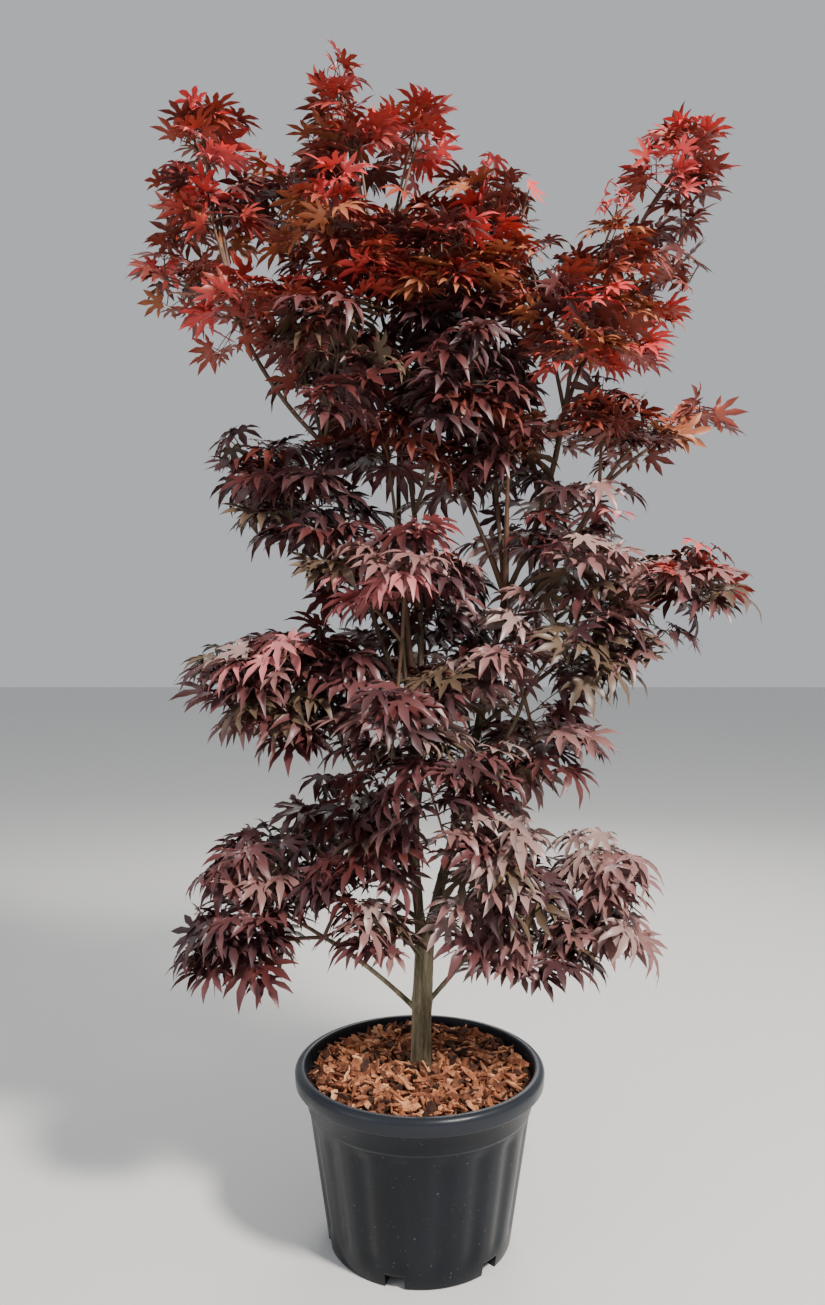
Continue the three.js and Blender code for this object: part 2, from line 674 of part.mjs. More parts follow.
// A three-sided twig that ends in a leaf, as one closed mesh, or null where it would cross itself.
// The corners of the twig's last ring lie on top, to the right and to the left of the leaf's tail.
function leafyTwig({ leaf, path }) {
  const outwardIn = [...path].reverse();
  const back = outwardIn[1].clone().sub(outwardIn[0]).normalize();
  const taper = outwardIn.map((_, step) => (
    THREE.MathUtils.lerp(TWIG_END_RADIUS, TWIG_RADIUS, step / (path.length - 1))));
  const frame = { along: back.sub(leaf.along).normalize(), across: leaf.normal };
  const points = ringsAlong(outwardIn, taper, TWIG_SIDES, frame);
  const faces = wallFaces(path.length, TWIG_SIDES);
  const [onTop, right, left] = [0, 1, 2];
  const { outline, top, underside } = leafCorners(leaf);
  const rim = outline.slice(1).map((corner) => points.push(corner) - 1);
  const apex = points.push(top) - 1;
  const nadir = points.push(underside) - 1;
  const loop = [left, ...rim, right];
  for (let index = 0; index + 1 < loop.length; index += 1) {
    faces.push([loop[index], loop[index + 1], apex], [loop[index + 1], loop[index], nadir]);
  }
  faces.push([right, onTop, apex], [onTop, left, apex], [left, right, nadir]);
  return crossesItself([...points], faces) ? null : toSolid(meshFrom(points, faces));
}

// Points spread over a leaf, close enough together that no limb slips between them
function leafSamples(leaf) {
  const { outline, top } = leafCorners(leaf);
  const samples = [top];
  outline.forEach((corner, index) => {
    const next = outline[(index + 1) % outline.length];
    const half = corner.clone().lerp(next, 0.5);
    for (const share of [0.33, 0.66, 1]) {
      samples.push(top.clone().lerp(corner, share), top.clone().lerp(half, share));
    }
  });
  return samples;
}

function clearOf(obstacles, point, extra) {
  return obstacles.every(({ line, radius }) => {
    const nearest = line.closestPointToPoint(point, true, new THREE.Vector3());
    return nearest.distanceTo(point) > radius + extra;
  });
}

// A limb or stem as short straight lines with a radius each
function asObstacles({ path, taper }) {
  return path.slice(1).map((point, step) => ({
    line: new THREE.Line3(path[step], point),
    radius: Math.max(taper[step], taper[step + 1]),
  }));
}

// The stem goes on from the bough's tip into the heart of the mass
function stemOf(mass, limbs) {
  const bough = limbs.get(mass.bough);
  const space = spaceOf(mass);
  const radius = bough.radii[1];
  const root = rootOn(bough, 1, space.middle, radius);
  const onward = space.middle.clone().sub(root).divide(space.reach).normalize();
  const tip = space.middle.clone().lerp(edgeOf(space, onward), STEM_PAST_MIDDLE);
  const length = root.distanceTo(tip);
  const curve = bowed(root, tip, UP.clone().multiplyScalar(STEM_BOW * length));
  const stem = limb(`${mass.name}_foliage`, curve, [radius, STEM_END_RADIUS], STEM_SIDES, STEM_STEPS);
  return { ...stem, space, bough: mass.bough };
}

// Directions that fill the sphere evenly however many are drawn. The first one looks straight
// away from the bough, so that the mass reaches its furthest tip.
function directionOf(index, phases, firstWay) {
  if (index === 0) {
    return firstWay.clone();
  }
  const PLASTIC = 1.324717957244746;
  const turn = 2 * Math.PI * ((phases[0] + index / PLASTIC) % 1);
  const height = 2 * ((phases[1] + index / PLASTIC ** 2) % 1) - 1;
  const level = Math.sqrt(1 - height * height);
  return new THREE.Vector3(level * Math.cos(turn), level * Math.sin(turn), height);
}

// A leaf with its point at the edge of the space. It lies along that edge and hangs, like a
// shingle, and it is rolled and made smaller until it fits. Where it never fits there is no leaf.
function fittedLeaf(space, direction, roll, obstacles, grown) {
  const tip = edgeOf(space, direction);
  const outward = tip.clone().sub(space.middle).normalize();
  const downward = outward.clone().multiplyScalar(outward.z).sub(UP).normalize();
  const along = outward.clone().multiplyScalar(LEAF_OUTWARD).add(downward).normalize();
  const level = outward.clone().addScaledVector(along, -outward.dot(along)).normalize();
  for (const size of LEAF_SIZES) {
    for (const turn of LEAF_TURNS) {
      const length = size * LEAF_LENGTH;
      const root = tip.clone().addScaledVector(along, -length);
      const normal = level.clone().applyAxisAngle(along, roll + turn);
      const leaf = { root, along, normal, length };
      const { outline, top } = leafCorners(leaf);
      const fits = [...outline, top].every((corner) => holds(space, corner))
        && leafSamples(leaf).every((point) => clearOf(obstacles, point, LIMB_CLEARANCE)
          && clearOf(grown.wood, point, OWN_CLEARANCE)
          && grown.leafPoints.every((other) => other.distanceTo(point) > OWN_CLEARANCE));
      if (fits) {
        return leaf;
      }
    }
  }
  return null;
}

// The twig that carries a leaf, from the nearest bud on the stem. It comes to the leaf's tail in the
// leaf's own direction.
function twigTo(leaf, space, obstacles, grown) {
  const nearest = grown.buds.reduce((best, point) => (
    point.distanceTo(leaf.root) < best.distanceTo(leaf.root) ? point : best));
  const length = nearest.distanceTo(leaf.root);
  const control = leaf.root.clone().addScaledVector(leaf.along, -TWIG_CURL * length);
  const curve = new THREE.QuadraticBezierCurve3(nearest, control, leaf.root);
  const places = curve.getPoints(Math.ceil(length / OWN_CLEARANCE) + 2).slice(1);
  const free = places.every((point) => holds(space, point)
    && clearOf(obstacles, point, TWIG_RADIUS + LIMB_CLEARANCE)
    && grown.leafPoints.every((other) => other.distanceTo(point) > OWN_CLEARANCE));
  const turn = leaf.root.clone().sub(nearest).normalize().dot(leaf.along);
  const steps = length > LONG_TWIG || turn < STRAIGHT_TWIG ? 2 : 1;
  return free ? curve.getPoints(steps) : null;
}

// Leaves are drawn one after the other until the mass has as many as its size asks for
function growMass(stem, index, obstacles) {
  const random = seeded(CROWN_SEED + index);
  const phases = [random(), random()];
  const { space } = stem;
  const firstWay = space.middle.clone().sub(stem.path[0]).divide(space.reach).normalize();
  const { x, y, z } = space.reach;
  const area = (x * y + y * z + z * x) / 3;
  const wanted = Math.max(FEWEST_LEAVES, Math.round(area / CROWN_AREA_PER_LEAF));
  const grown = { wood: asObstacles(stem), buds: [], leafPoints: [] };
  for (let share = FIRST_TWIG; share < LAST_TWIG; share += TWIG_SPACING) {
    grown.buds.push(stem.curve.getPoint(share));
  }
  const sprays = [];
  for (let draw = 0; sprays.length < wanted && draw < TRIES_PER_LEAF * wanted; draw += 1) {
    const roll = LEAF_ROLL * (random() - 0.5);
    const direction = directionOf(draw, phases, firstWay);
    const leaf = fittedLeaf(space, direction, roll, obstacles, grown);
    const path = leaf && twigTo(leaf, space, obstacles, grown);
    const solid = path && leafyTwig({ leaf, path });
    if (solid) {
      sprays.push(solid);
      grown.wood.push(...asObstacles({ path, taper: path.map(() => TWIG_RADIUS) }));
      grown.leafPoints.push(...leafSamples(leaf));
    }
  }
  return sprays;
}

function massSolid(stem, stems, index, limbs, rooms) {
  const ownLimbs = [...limbs.values()];
  const others = stems.filter((other) => other !== stem);
  const obstacles = [...ownLimbs, ...others].flatMap(asObstacles);
  let solid = toSolid(tube(stem.path, stem.taper, stem.sides));
  for (const [name, one] of limbs) {
    if (name === stem.bough || one.parent === stem.bough) {
      solid = solid.subtract(rooms.get(name));
    }
  }
  for (const other of stems.slice(0, index)) {
    if (other.bough === stem.bough) {
      solid = solid.subtract(roomOf(other));
    }
  }
  for (const spray of growMass(stem, index, obstacles)) {
    solid = solid.add(spray);
  }
  return solid;
}

// The whole plant

const plant = new THREE.Group();

function addPiece(name, geometry, material) {
  const mesh = new THREE.Mesh(geometry, material);
  mesh.name = name;
  plant.add(mesh);
}

const limbs = growLimbs();
const { solids, rooms } = limbSolids(limbs);
const stems = MASSES.map((mass) => stemOf(mass, limbs));

addPiece('pot', toGeometry(potSolid()), MATERIALS.pot);
addPiece('potting_soil', soilGeometry(), MATERIALS.soil);
addPiece('bark_mulch', toGeometry(mulchSolid(rooms.get('trunk'))), MATERIALS.mulch);
for (const [name, solid] of solids) {
  addPiece(name, toGeometry(solid), MATERIALS.bark);
}
stems.forEach((stem, index) => {
  addPiece(stem.name, toGeometry(massSolid(stem, stems, index, limbs, rooms)), MATERIALS.leaf);
});

export default plant;
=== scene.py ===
"""The looks of a potted Japanese maple with dark red leaves.

The pot, the bark chips, the bark of the trunk and boughs, and the foliage are made here, each round
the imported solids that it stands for. The foliage grows by the rule of the part's source, carried on
to finer twigs: a stem goes on from a bough's tip inside the space of its mass, twigs leave the stem
for the edge of that space, and every twig forks and carries pairs of leaves. Small loose sprays grow
by the same rule between the masses, and openings keep leaves away where the crown shows sky. Lengths
are in millimetres until a mesh is made.
"""

import math

import bpy
import numpy as np
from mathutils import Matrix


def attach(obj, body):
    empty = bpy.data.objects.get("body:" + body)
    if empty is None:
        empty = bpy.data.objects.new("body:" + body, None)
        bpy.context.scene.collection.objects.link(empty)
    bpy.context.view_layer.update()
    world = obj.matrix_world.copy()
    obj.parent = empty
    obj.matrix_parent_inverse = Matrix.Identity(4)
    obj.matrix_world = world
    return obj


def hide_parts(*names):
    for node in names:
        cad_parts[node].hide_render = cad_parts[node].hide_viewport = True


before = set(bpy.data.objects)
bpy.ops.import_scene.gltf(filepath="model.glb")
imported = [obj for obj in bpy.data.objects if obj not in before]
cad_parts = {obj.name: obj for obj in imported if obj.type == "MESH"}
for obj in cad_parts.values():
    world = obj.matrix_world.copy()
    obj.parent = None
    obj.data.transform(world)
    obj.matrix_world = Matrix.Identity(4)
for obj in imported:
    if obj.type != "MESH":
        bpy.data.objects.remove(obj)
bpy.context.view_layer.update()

MM = 0.001
GOLDEN_ANGLE = math.radians(137.508)
UP = np.array([0.0, 0.0, 1.0])
FRONT = np.array([0.0, -1.0, 0.0])
LEVEL = np.array([1.0, 1.0, 0.0])

# Camera, as fitted to the photograph
CAMERA_PLACE = (-0.0145, -1.917, 1.166)
FOCAL_PIXELS = 950
LONG_SIDE_PIXELS = 1305
SENSOR_MM = 36

# Pot
POT_HEIGHT = 344
RIM_RADIUS = 250
RIM_WIDTH = 20
RIM_BAND = 33
RIM_ROUND = 13
RIM_INNER_ROUND = 5
SHOULDER_RADIUS = 228
SHOULDER_BOTTOM = 268
BODY_TOP_RADIUS = 221
FOOT_RADIUS = 182
WALL = 7
FLOOR = 32
FLUTES = 18
FLUTE_DEPTH = 4.5
POT_SECTORS = 20 * FLUTES
NOTCHES = 6
NOTCH_WIDTH = 37
NOTCH_HEIGHT = 24
NOTCH_DEPTH = 34
FIRST_NOTCH_ANGLE = math.radians(-105)

# Soil and mulch
SOIL_TOP = 314
MULCH_EDGE = 324
MULCH_MIDDLE = 334
MULCH_BED_DEPTH = 5
CHIPS = 1750
CHIP_REACH = 209
CHIP_RISE = 13
CHIP_WIDEST = 21
CHIP_THICKNESS = (2.6, 6.5)
LONG_CHIPS = 0.3
STANDING_CHIPS = 0.07
CHIP_TRUNK_GAP = 27
CHIP_SEED = 71

# Lengths of a long and a short bark chip, and their widths as a share of that
LONG_CHIP = ((32, 54), (0.18, 0.34))
SHORT_CHIP = ((16, 36), (0.4, 0.75))

# Share of each tone of bark chip, and the dark and pale ends of its grain; the pale tone is painted
# sunlight, the dark one partly painted shade
CHIP_TONES = {
    "chip_terracotta": (0.34, (0.15, 0.045, 0.021), (0.46, 0.175, 0.085)),
    "chip_orange": (0.22, (0.30, 0.105, 0.045), (0.74, 0.34, 0.17)),
    "chip_brown": (0.25, (0.060, 0.020, 0.011), (0.20, 0.068, 0.034)),
    # Partly the chips' own dark colour, partly painted shade between them
    "chip_dark_and_shaded": (0.14, (0.018, 0.008, 0.005), (0.070, 0.027, 0.016)),
    # Painted sunlight on the chips
    "chip_sunlit": (0.05, (0.46, 0.20, 0.10), (0.82, 0.44, 0.25)),
}

# Trunk
TRUNK_CUT = SOIL_TOP + 0.3
TRUNK_FOOT = np.array([4.0, 0, TRUNK_CUT - 10])
TRUNK_FORK = np.array([11.0, 0, 606])
TRUNK_BOW = np.array([-3.0, 0, 0])
TRUNK_RADII = (21.5, 19)
FLARE_RADIUS = 33
FLARE_HEIGHT = 60
BARK_SEED = 19

# Height, reach and swelling of the trunk's collars, under its lowest boughs and its fork
COLLARS = [(466, 11, 1.5), (590, 16, 1.65)]

SIDE_BOUGH_RADII = (5, 4.4)
ROOT_ASIDE = 0.8

# Foliage
SPACE_GAP = 4
EDGE_SHARE = 0.98
STEM_PAST_MIDDLE = 0.4
STEM_BOW = 0.05
STEM_END_RADIUS = 2.2
CROWN_SEED = 307
CROWN_AREA_PER_TWIG = 1350
FEWEST_TWIGS = 7
SHORTEST_TWIG = 12
TWIG_REACH = (0.3, 0.84)
TWIG_RISE = 0.12
TWIG_RADII = (1.9, 1.1)
STEM_BUDS = (0.3, 0.98, 0.09)
BOUGH_BUDS = (0.45, 1, 0.07)
SPRAY_ROOTS = (0.4, 1, 13)
FORK_LENGTH = (45, 85)
FORK_PLACE = (0.35, 0.7)
FORK_TURN = (1.1, 1.9)
FORK_RADII = (1.3, 0.9)
LEAF_SIZE = 84
SMALL_LEAF_SIZE = 66
PETIOLE = 30
PETIOLE_RADII = (1.0, 0.8, 0.75)
NODE_SPACING = 36
LEAF_MIDDLE = 0.45
LIMB_CLEARANCE = 5
LEAF_CLEARANCE = 0.32
BLEND = 1.5
PATCHES = 8
PATCHINESS = 0.3
PATCH_LENGTHS = (110, 260)
PATCH_SEED = 41
TWIG_FULLNESS = 1.6
LEAF_FULLNESS = 1.3
TIP_FULLNESS = 0.9
LAST_FULLNESS = 0.6

# No leaf passes these corners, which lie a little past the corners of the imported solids
CROWN_LOW = (-615, -268, 470)
CROWN_HIGH = (676, 276, 2394)

BOUGHS = [
    ("left_leader", "trunk", 1, (-2, -10, 1000), (-12, 0, 0), (11.5, 8.5)),
    ("right_leader", "trunk", 1, (176, 20, 1289), (6, 0, -6), (12, 8)),
    ("left_bough", "left_leader", 1, (-188, -40, 1580), (-12, 0, 0), (6.5, 4.6)),
    ("centre_bough", "left_leader", 1, (-84, 0, 1877), (34, 6, 0), (7, 4.4)),
    ("back_bough", "left_leader", 1, (-30, 120, 1830), (-26, 18, 0), (6.5, 4.4)),
    ("far_left_bough", "left_bough", 1, (-371, 0, 1850), (-14, 4, -12), SIDE_BOUGH_RADII),
    ("rear_left_bough", "left_bough", 1, (-266, 62, 1896), (-8, 20, 0), SIDE_BOUGH_RADII),
    ("front_left_bough", "left_bough", 1, (-196, 4, 1850), (6, 22, 0), SIDE_BOUGH_RADII),
    ("left_side_bough", "left_bough", 0.56, (-212, 12, 1440), (-8, 4, -14), SIDE_BOUGH_RADII),
    ("front_right_bough", "centre_bough", 0.52, (26, -70, 1590), (8, -12, 0), SIDE_BOUGH_RADII),
    ("inner_right_bough", "right_leader", 1, (140, 50, 1834), (-2, 4, 0), SIDE_BOUGH_RADII),
    ("right_bough", "right_leader", 1, (293, 0, 1655), (14, 0, -6), (6.5, 4.6)),
    ("right_side_bough", "right_leader", 1, (362, -10, 1495), (14, -6, -22), SIDE_BOUGH_RADII),
    ("upper_right_bough", "right_bough", 1, (456, 56, 2050), (-6, 14, 0), SIDE_BOUGH_RADII),
    ("rear_right_bough", "right_bough", 0.5, (322, 40, 1815), (6, 12, -10), SIDE_BOUGH_RADII),
    ("long_right_bough", "right_leader", 0.62, (406, -20, 1232), (0, -6, 8), SIDE_BOUGH_RADII),
    ("mid_right_bough", "right_leader", 0.46, (206, -50, 1082), (12, -10, -10), SIDE_BOUGH_RADII),
    ("centre_front_bough", "left_leader", 0.8, (-34, -104, 1190), (0, -22, -14), SIDE_BOUGH_RADII),
    ("centre_back_bough", "left_leader", 0.5, (14, 110, 985), (0, 18, -14), SIDE_BOUGH_RADII),
    ("mid_left_bough", "left_leader", 0.42, (-172, -20, 1030), (-14, 0, -10), SIDE_BOUGH_RADII),
    ("low_inner_bough", "left_leader", 0.1, (-106, 30, 770), (-16, 4, -8), SIDE_BOUGH_RADII),
    ("lowest_left_bough", "trunk", 0.49, (-196, -10, 596), (-4, 0, 14), (5.6, 4.4)),
    ("lowest_right_bough", "trunk", 0.54, (122, -14, 590), (6, 0, 6), (5.4, 4.4)),
]

# Name, bough, middle and reach of each mass, the colours dealt to its twigs, and how many leaves
# it has beside the usual number
MASSES = [
    ("top_spire", "centre_bough", (-150, -10, 2245), (78, 100, 152), "young", 0.9),
    ("second_spire", "centre_bough", (-14, 30, 2216), (64, 84, 108), "young", 0.9),
    ("front_middle", "centre_bough", (48, -100, 1926), (115, 120, 115), "upper", 1.1),
    ("upper_left", "far_left_bough", (-441, -10, 2145), (100, 105, 142), "young", 0.85),
    ("far_left", "far_left_bough", (-490, 10, 1908), (114, 110, 90), "upper", 0.9),
    ("rear_left", "rear_left_bough", (-273, 90, 2090), (118, 120, 118), "upper", 1.0),
    ("left_shoulder", "front_left_bough", (-326, -70, 1810), (108, 115, 98), "upper", 0.9),
    ("front_left", "front_left_bough", (-163, -100, 1965), (118, 120, 122), "upper", 1.1),
    ("lower_left", "left_bough", (-165, -100, 1680), (118, 118, 176), "dark", 1.0),
    ("rear_lower_left", "back_bough", (-168, 135, 1742), (140, 125, 172), "dark", 1.0),
    ("rear_middle", "back_bough", (12, 140, 2005), (160, 122, 134), "upper", 1.0),
    ("upper_middle", "inner_right_bough", (148, 20, 2070), (84, 95, 98), "young", 0.9),
    ("rear_lower_right", "inner_right_bough", (109, 140, 1732), (134, 125, 186), "dark", 0.8),
    ("lower_middle", "front_right_bough", (72, -100, 1660), (118, 118, 172), "dark", 0.9),
    ("right_spire", "upper_right_bough", (538, 10, 2169), (104, 92, 88), "young", 0.9),
    ("right_wing", "upper_right_bough", (568, 90, 2000), (112, 98, 86), "russet", 0.8),
    ("right_arm", "rear_right_bough", (374, -40, 1988), (108, 112, 120), "russet", 1.0),
    ("rear_right", "rear_right_bough", (420, 120, 1850), (146, 120, 118), "russet", 1.0),
    ("front_right", "right_bough", (300, -85, 1762), (116, 118, 104), "russet", 1.0),
    ("right_side", "right_side_bough", (456, -20, 1606), (106, 108, 80), "russet", 0.7),
    ("right_middle", "right_side_bough", (276, 60, 1421), (116, 115, 106), "dusky", 0.9),
    ("left_side", "left_side_bough", (-311, 30, 1489), (128, 120, 128), "dark", 0.45),
    ("centre_front", "centre_front_bough", (-29, -92, 1321), (146, 130, 104), "pink", 1.1),
    ("low_front", "centre_front_bough", (-48, -120, 1029), (130, 125, 144), "dusky", 1.1),
    ("centre_back", "centre_back_bough", (12, 130, 1193), (162, 125, 200), "dark", 0.9),
    ("far_right", "long_right_bough", (500, -10, 1291), (130, 112, 80), "dusky", 0.9),
    ("right_centre", "mid_right_bough", (284, -60, 1190), (150, 130, 110), "sheen_mauve", 1.1),
    ("right_lower", "mid_right_bough", (230, -20, 981), (150, 138, 112), "dusky", 1.1),
    ("left_lower", "mid_left_bough", (-329, -20, 1095), (170, 142, 122), "wine", 0.9),
    ("low_inner", "low_inner_bough", (-154, 50, 819), (116, 122, 102), "dark", 0.9),
    ("lowest_left", "lowest_left_bough", (-341, -10, 660), (134, 142, 168), "wine", 1.1),
    ("lowest_right", "lowest_right_bough", (378, 20, 661), (112, 132, 172), "sheen_mauve", 1.2),
    ("low_right", "lowest_right_bough", (177, -50, 719), (104, 122, 148), "sheen_mauve", 1.1),
]

# Loose sprays between and beyond the masses, in the same order
SPRAYS = [
    ("second_tip", "centre_bough", (0, 10, 2212), (46, 64, 80), "young", 1.2),
    ("top_tip", "centre_bough", (-172, 30, 2312), (36, 44, 62), "young", 1.5),
    ("upper_left_tip", "far_left_bough", (-442, 0, 2226), (40, 50, 46), "young", 1.4),
    ("right_tip", "upper_right_bough", (568, 30, 2206), (40, 44, 34), "young", 1.6),
    ("right_spire_spray", "upper_right_bough", (500, 20, 2104), (56, 60, 40), "young", 1.4),
    ("inner_right_spray", "inner_right_bough", (198, -30, 2010), (60, 74, 112), "upper", 1.2),
    ("under_right_spray", "right_side_bough", (366, -10, 1612), (84, 84, 52), "russet", 1.2),
    ("side_tip", "right_side_bough", (560, -20, 1636), (46, 50, 36), "young", 1.5),
    ("far_right_wing_tip", "long_right_bough", (554, -20, 1342), (48, 56, 38), "young", 1.5),
    ("left_tier_spray", "mid_left_bough", (-250, -120, 1150), (100, 76, 44), "pink", 1.6),
    ("left_side_tip", "left_side_bough", (-362, 20, 1570), (50, 60, 44), "dark", 1.2),
    ("middle_left_spray", "centre_front_bough", (-184, -40, 1340), (66, 84, 92), "dark", 1.0),
    ("spire_foot_spray", "centre_bough", (-122, -20, 2166), (70, 80, 58), "upper", 1.8),
    ("left_shoulder_spray", "far_left_bough", (-408, -40, 2006), (70, 80, 56), "upper", 1.4),
    ("inner_front_spray", "right_bough", (226, -60, 1880), (70, 84, 66), "russet", 1.8),
    ("between_spray", "right_leader", (176, -30, 1552), (84, 80, 70), "dark", 1.4),
    ("above_leaders_spray", "centre_front_bough", (50, -84, 936), (80, 90, 50), "dusky", 1.4),
    ("upper_front_spray", "left_leader", (-64, -40, 1556), (96, 84, 64), "dark", 1.4),
    ("right_middle_spray", "right_side_bough", (292, -40, 1352), (84, 84, 56), "sheen_mauve", 1.8),
    ("inner_middle_spray", "mid_right_bough", (118, -90, 1116), (96, 84, 44), "sheen_mauve", 1.8),
    ("shoulder_left_spray", "mid_left_bough", (-190, -40, 1150), (60, 80, 44), "wine", 1.6),
    ("above_pot_spray", "lowest_left_bough", (-62, -70, 612), (66, 70, 44), "dusky", 1.6),
    ("far_right_tip", "long_right_bough", (452, -30, 1176), (66, 70, 44), "dusky", 1.0),
    ("above_fork_spray", "centre_front_bough", (34, -90, 850), (112, 92, 84), "dusky", 1.0),
    ("low_left_spray", "lowest_left_bough", (-160, -50, 662), (88, 92, 66), "dusky", 1.0),
    ("low_right_spray", "lowest_right_bough", (196, -60, 578), (110, 100, 48), "sheen_mauve", 1.3),
    ("bottom_left_spray", "lowest_left_bough", (-366, -10, 560), (90, 100, 40), "wine", 1.3),
    ("waist_left_spray", "front_left_bough", (-112, -70, 1866), (124, 90, 48), "upper", 1.7),
    ("waist_right_spray", "inner_right_bough", (64, -60, 1840), (110, 90, 48), "dark", 1.7),
    ("stem_foot_spray", "lowest_right_bough", (92, -60, 640), (62, 70, 46), "sheen_mauve", 1.8),
    ("low_inner_spray", "low_inner_bough", (-100, -30, 760), (100, 86, 56), "dark", 1.1),
    ("inner_left_spray", "mid_left_bough", (-232, -40, 1020), (66, 80, 46), "wine", 1.5),
    ("left_waist_spray", "left_side_bough", (-222, 0, 1452), (92, 84, 58), "dark", 1.3),
    ("right_limb_spray", "right_bough", (262, 80, 1614), (84, 64, 56), "russet", 1.0),
    ("centre_waist_spray", "right_leader", (84, 64, 1508), (72, 66, 40), "dark", 1.0),
    ("right_waist_spray", "right_side_bough", (356, -30, 1462), (82, 76, 42), "pink", 1.2),
]

# Middle and reach of the places where only the front of the crown is open
FRONT_OPENINGS = [
    ((-140, -120, 2370), (110, 84, 84)),
    ((560, -100, 2260), (100, 70, 60)),
]

# Middle and reach, across and up, of the places where it is open right through
SKY_OPENINGS = [
    ((-84, 2300), (34, 70)),
    ((-258, 2320), (46, 76)),
    ((-546, 2220), (48, 84)),
    ((694, 2090), (60, 120)),
    ((640, 2230), (40, 60)),
    ((278, 2082), (44, 92)),
    ((-306, 1640), (90, 40)),
    ((404, 950), (66, 60)),
    ((-464, 1006), (72, 60)),
    ((-520, 700), (52, 120)),
    ((510, 680), (52, 120)),
    ((660, 1960), (60, 90)),
    ((516, 1524), (104, 34)),
    ((580, 1150), (90, 50)),
    ((-310, 930), (84, 30)),
    ((330, 850), (90, 26)),
    ((-560, 1830), (70, 40)),
    ((-456, 1500), (44, 110)),
    ((496, 1440), (76, 40)),
    ((-396, 1386), (56, 46)),
]
SKY_DEPTH = 500
OPENINGS = FRONT_OPENINGS + [
    ((x, 0, z), (across, SKY_DEPTH, up)) for (x, z), (across, up) in SKY_OPENINGS
]

# Leaf colours: base colour and roughness. Mauve, rose and pink are dark red leaves with painted sheen of
# light on them; scarlet, bright red and orange-brown are partly the leaves' own colour and partly painted
# light shining through them
LEAF_COLOURS = {
    # Partly own colour, partly painted light shining through the leaves
    "scarlet": ((0.61, 0.062, 0.058), 0.42),
    "bright_red": ((0.78, 0.125, 0.125), 0.40),
    "red": ((0.37, 0.045, 0.035), 0.44),
    "russet_red": ((0.29, 0.050, 0.028), 0.46),
    # Partly own colour, partly painted light shining through the leaves
    "orange_brown": ((0.35, 0.108, 0.045), 0.48),
    "red_brown": ((0.170, 0.034, 0.023), 0.46),
    "maroon": ((0.088, 0.020, 0.019), 0.44),
    "purple_brown": ((0.064, 0.025, 0.027), 0.42),
    "burgundy": ((0.120, 0.040, 0.041), 0.40),
    # Painted sheen of light on dark red leaves
    "rose": ((0.25, 0.118, 0.110), 0.38),
    "pink": ((0.52, 0.165, 0.165), 0.40),
    "sheen_mauve": ((0.33, 0.205, 0.185), 0.38),
    "olive_brown": ((0.115, 0.072, 0.045), 0.45),
}

# How often each colour is dealt to a twig of a mass. At the top, young, upper and russet have painted light
# shining through the leaves besides their own reds; pink, dusky and mauve at the front and lower right have
# painted sheen of light on dark red leaves; wine at the lower left is partly painted shade
DEALS = {
    # Painted light shining through the top leaves, besides their own reds
    "young": {"scarlet": 2, "red": 5, "russet_red": 5, "red_brown": 4, "orange_brown": 2},
    "upper": {"red": 2, "russet_red": 6, "red_brown": 9, "orange_brown": 4, "maroon": 4},
    "russet": {"orange_brown": 5, "russet_red": 5, "red_brown": 6, "red": 1, "maroon": 2},
    "dark": {"maroon": 6, "purple_brown": 5, "red_brown": 3, "olive_brown": 2, "burgundy": 2},
    # Painted sheen at the front and lower right
    "pink": {"rose": 5, "burgundy": 4, "sheen_mauve": 3, "russet_red": 1, "maroon": 3, "purple_brown": 2},
    "dusky": {"purple_brown": 4, "rose": 3, "burgundy": 3, "olive_brown": 3, "sheen_mauve": 2, "maroon": 3},
    "sheen_mauve": {"sheen_mauve": 5, "rose": 5, "purple_brown": 3, "olive_brown": 2, "burgundy": 2},
    # Partly painted shade at the lower left
    "wine": {"burgundy": 6, "maroon": 4, "purple_brown": 3, "rose": 2, "olive_brown": 1},
}

# Bright colour of the youngest twigs, and one twig in how many has it. The bright reds are partly painted
# light shining through the leaves, and the pink is painted sheen
TIPS = {"young": ("bright_red", 4), "upper": ("scarlet", 11), "russet": ("scarlet", 9), "pink": ("pink", 5)}

# Piece that the leaves of a mass go to
REGIONS = {
    "young": "top", "upper": "upper", "russet": "upper", "dark": "middle", "pink": "middle",
    "dusky": "lower", "sheen_mauve": "lower", "wine": "lowest",
}

# Leaf size, how far the leaves hang, and how unevenly they tilt
HABITS = {
    "young": (SMALL_LEAF_SIZE, (-0.35, 0.35), 0.5),
    "upper": (SMALL_LEAF_SIZE, (-0.2, 0.5), 0.5),
    "russet": (SMALL_LEAF_SIZE, (-0.2, 0.5), 0.5),
}
USUAL_HABIT = (LEAF_SIZE, (0.0, 0.7), 0.25)


# Numbers and vectors

def seeded(seed):
    """Random numbers between 0 and 1, the same as the source's."""
    mask = 0xFFFFFFFF
    state = seed & mask

    def draw():
        nonlocal state
        state = (state + 0x6D2B79F5) & mask
        word = ((state ^ (state >> 15)) * (state | 1)) & mask
        word ^= (word + (word ^ (word >> 7)) * (word | 61)) & mask
        return ((word ^ (word >> 14)) & mask) / (mask + 1)

    return draw


def unit(vector):
    return vector / max(np.linalg.norm(vector), 1e-9)


def square_to(vector, axis):
    """What is left of a vector without its part along the axis, at length 1."""
    return unit(vector - axis * vector.dot(axis))


def turned_about(vector, axis, angle):
    across = np.cross(axis, vector)
    lengthwise = axis * axis.dot(vector) * (1 - math.cos(angle))
    return vector * math.cos(angle) + across * math.sin(angle) + lengthwise


def mixed(low, high, share):
    return low + (high - low) * share


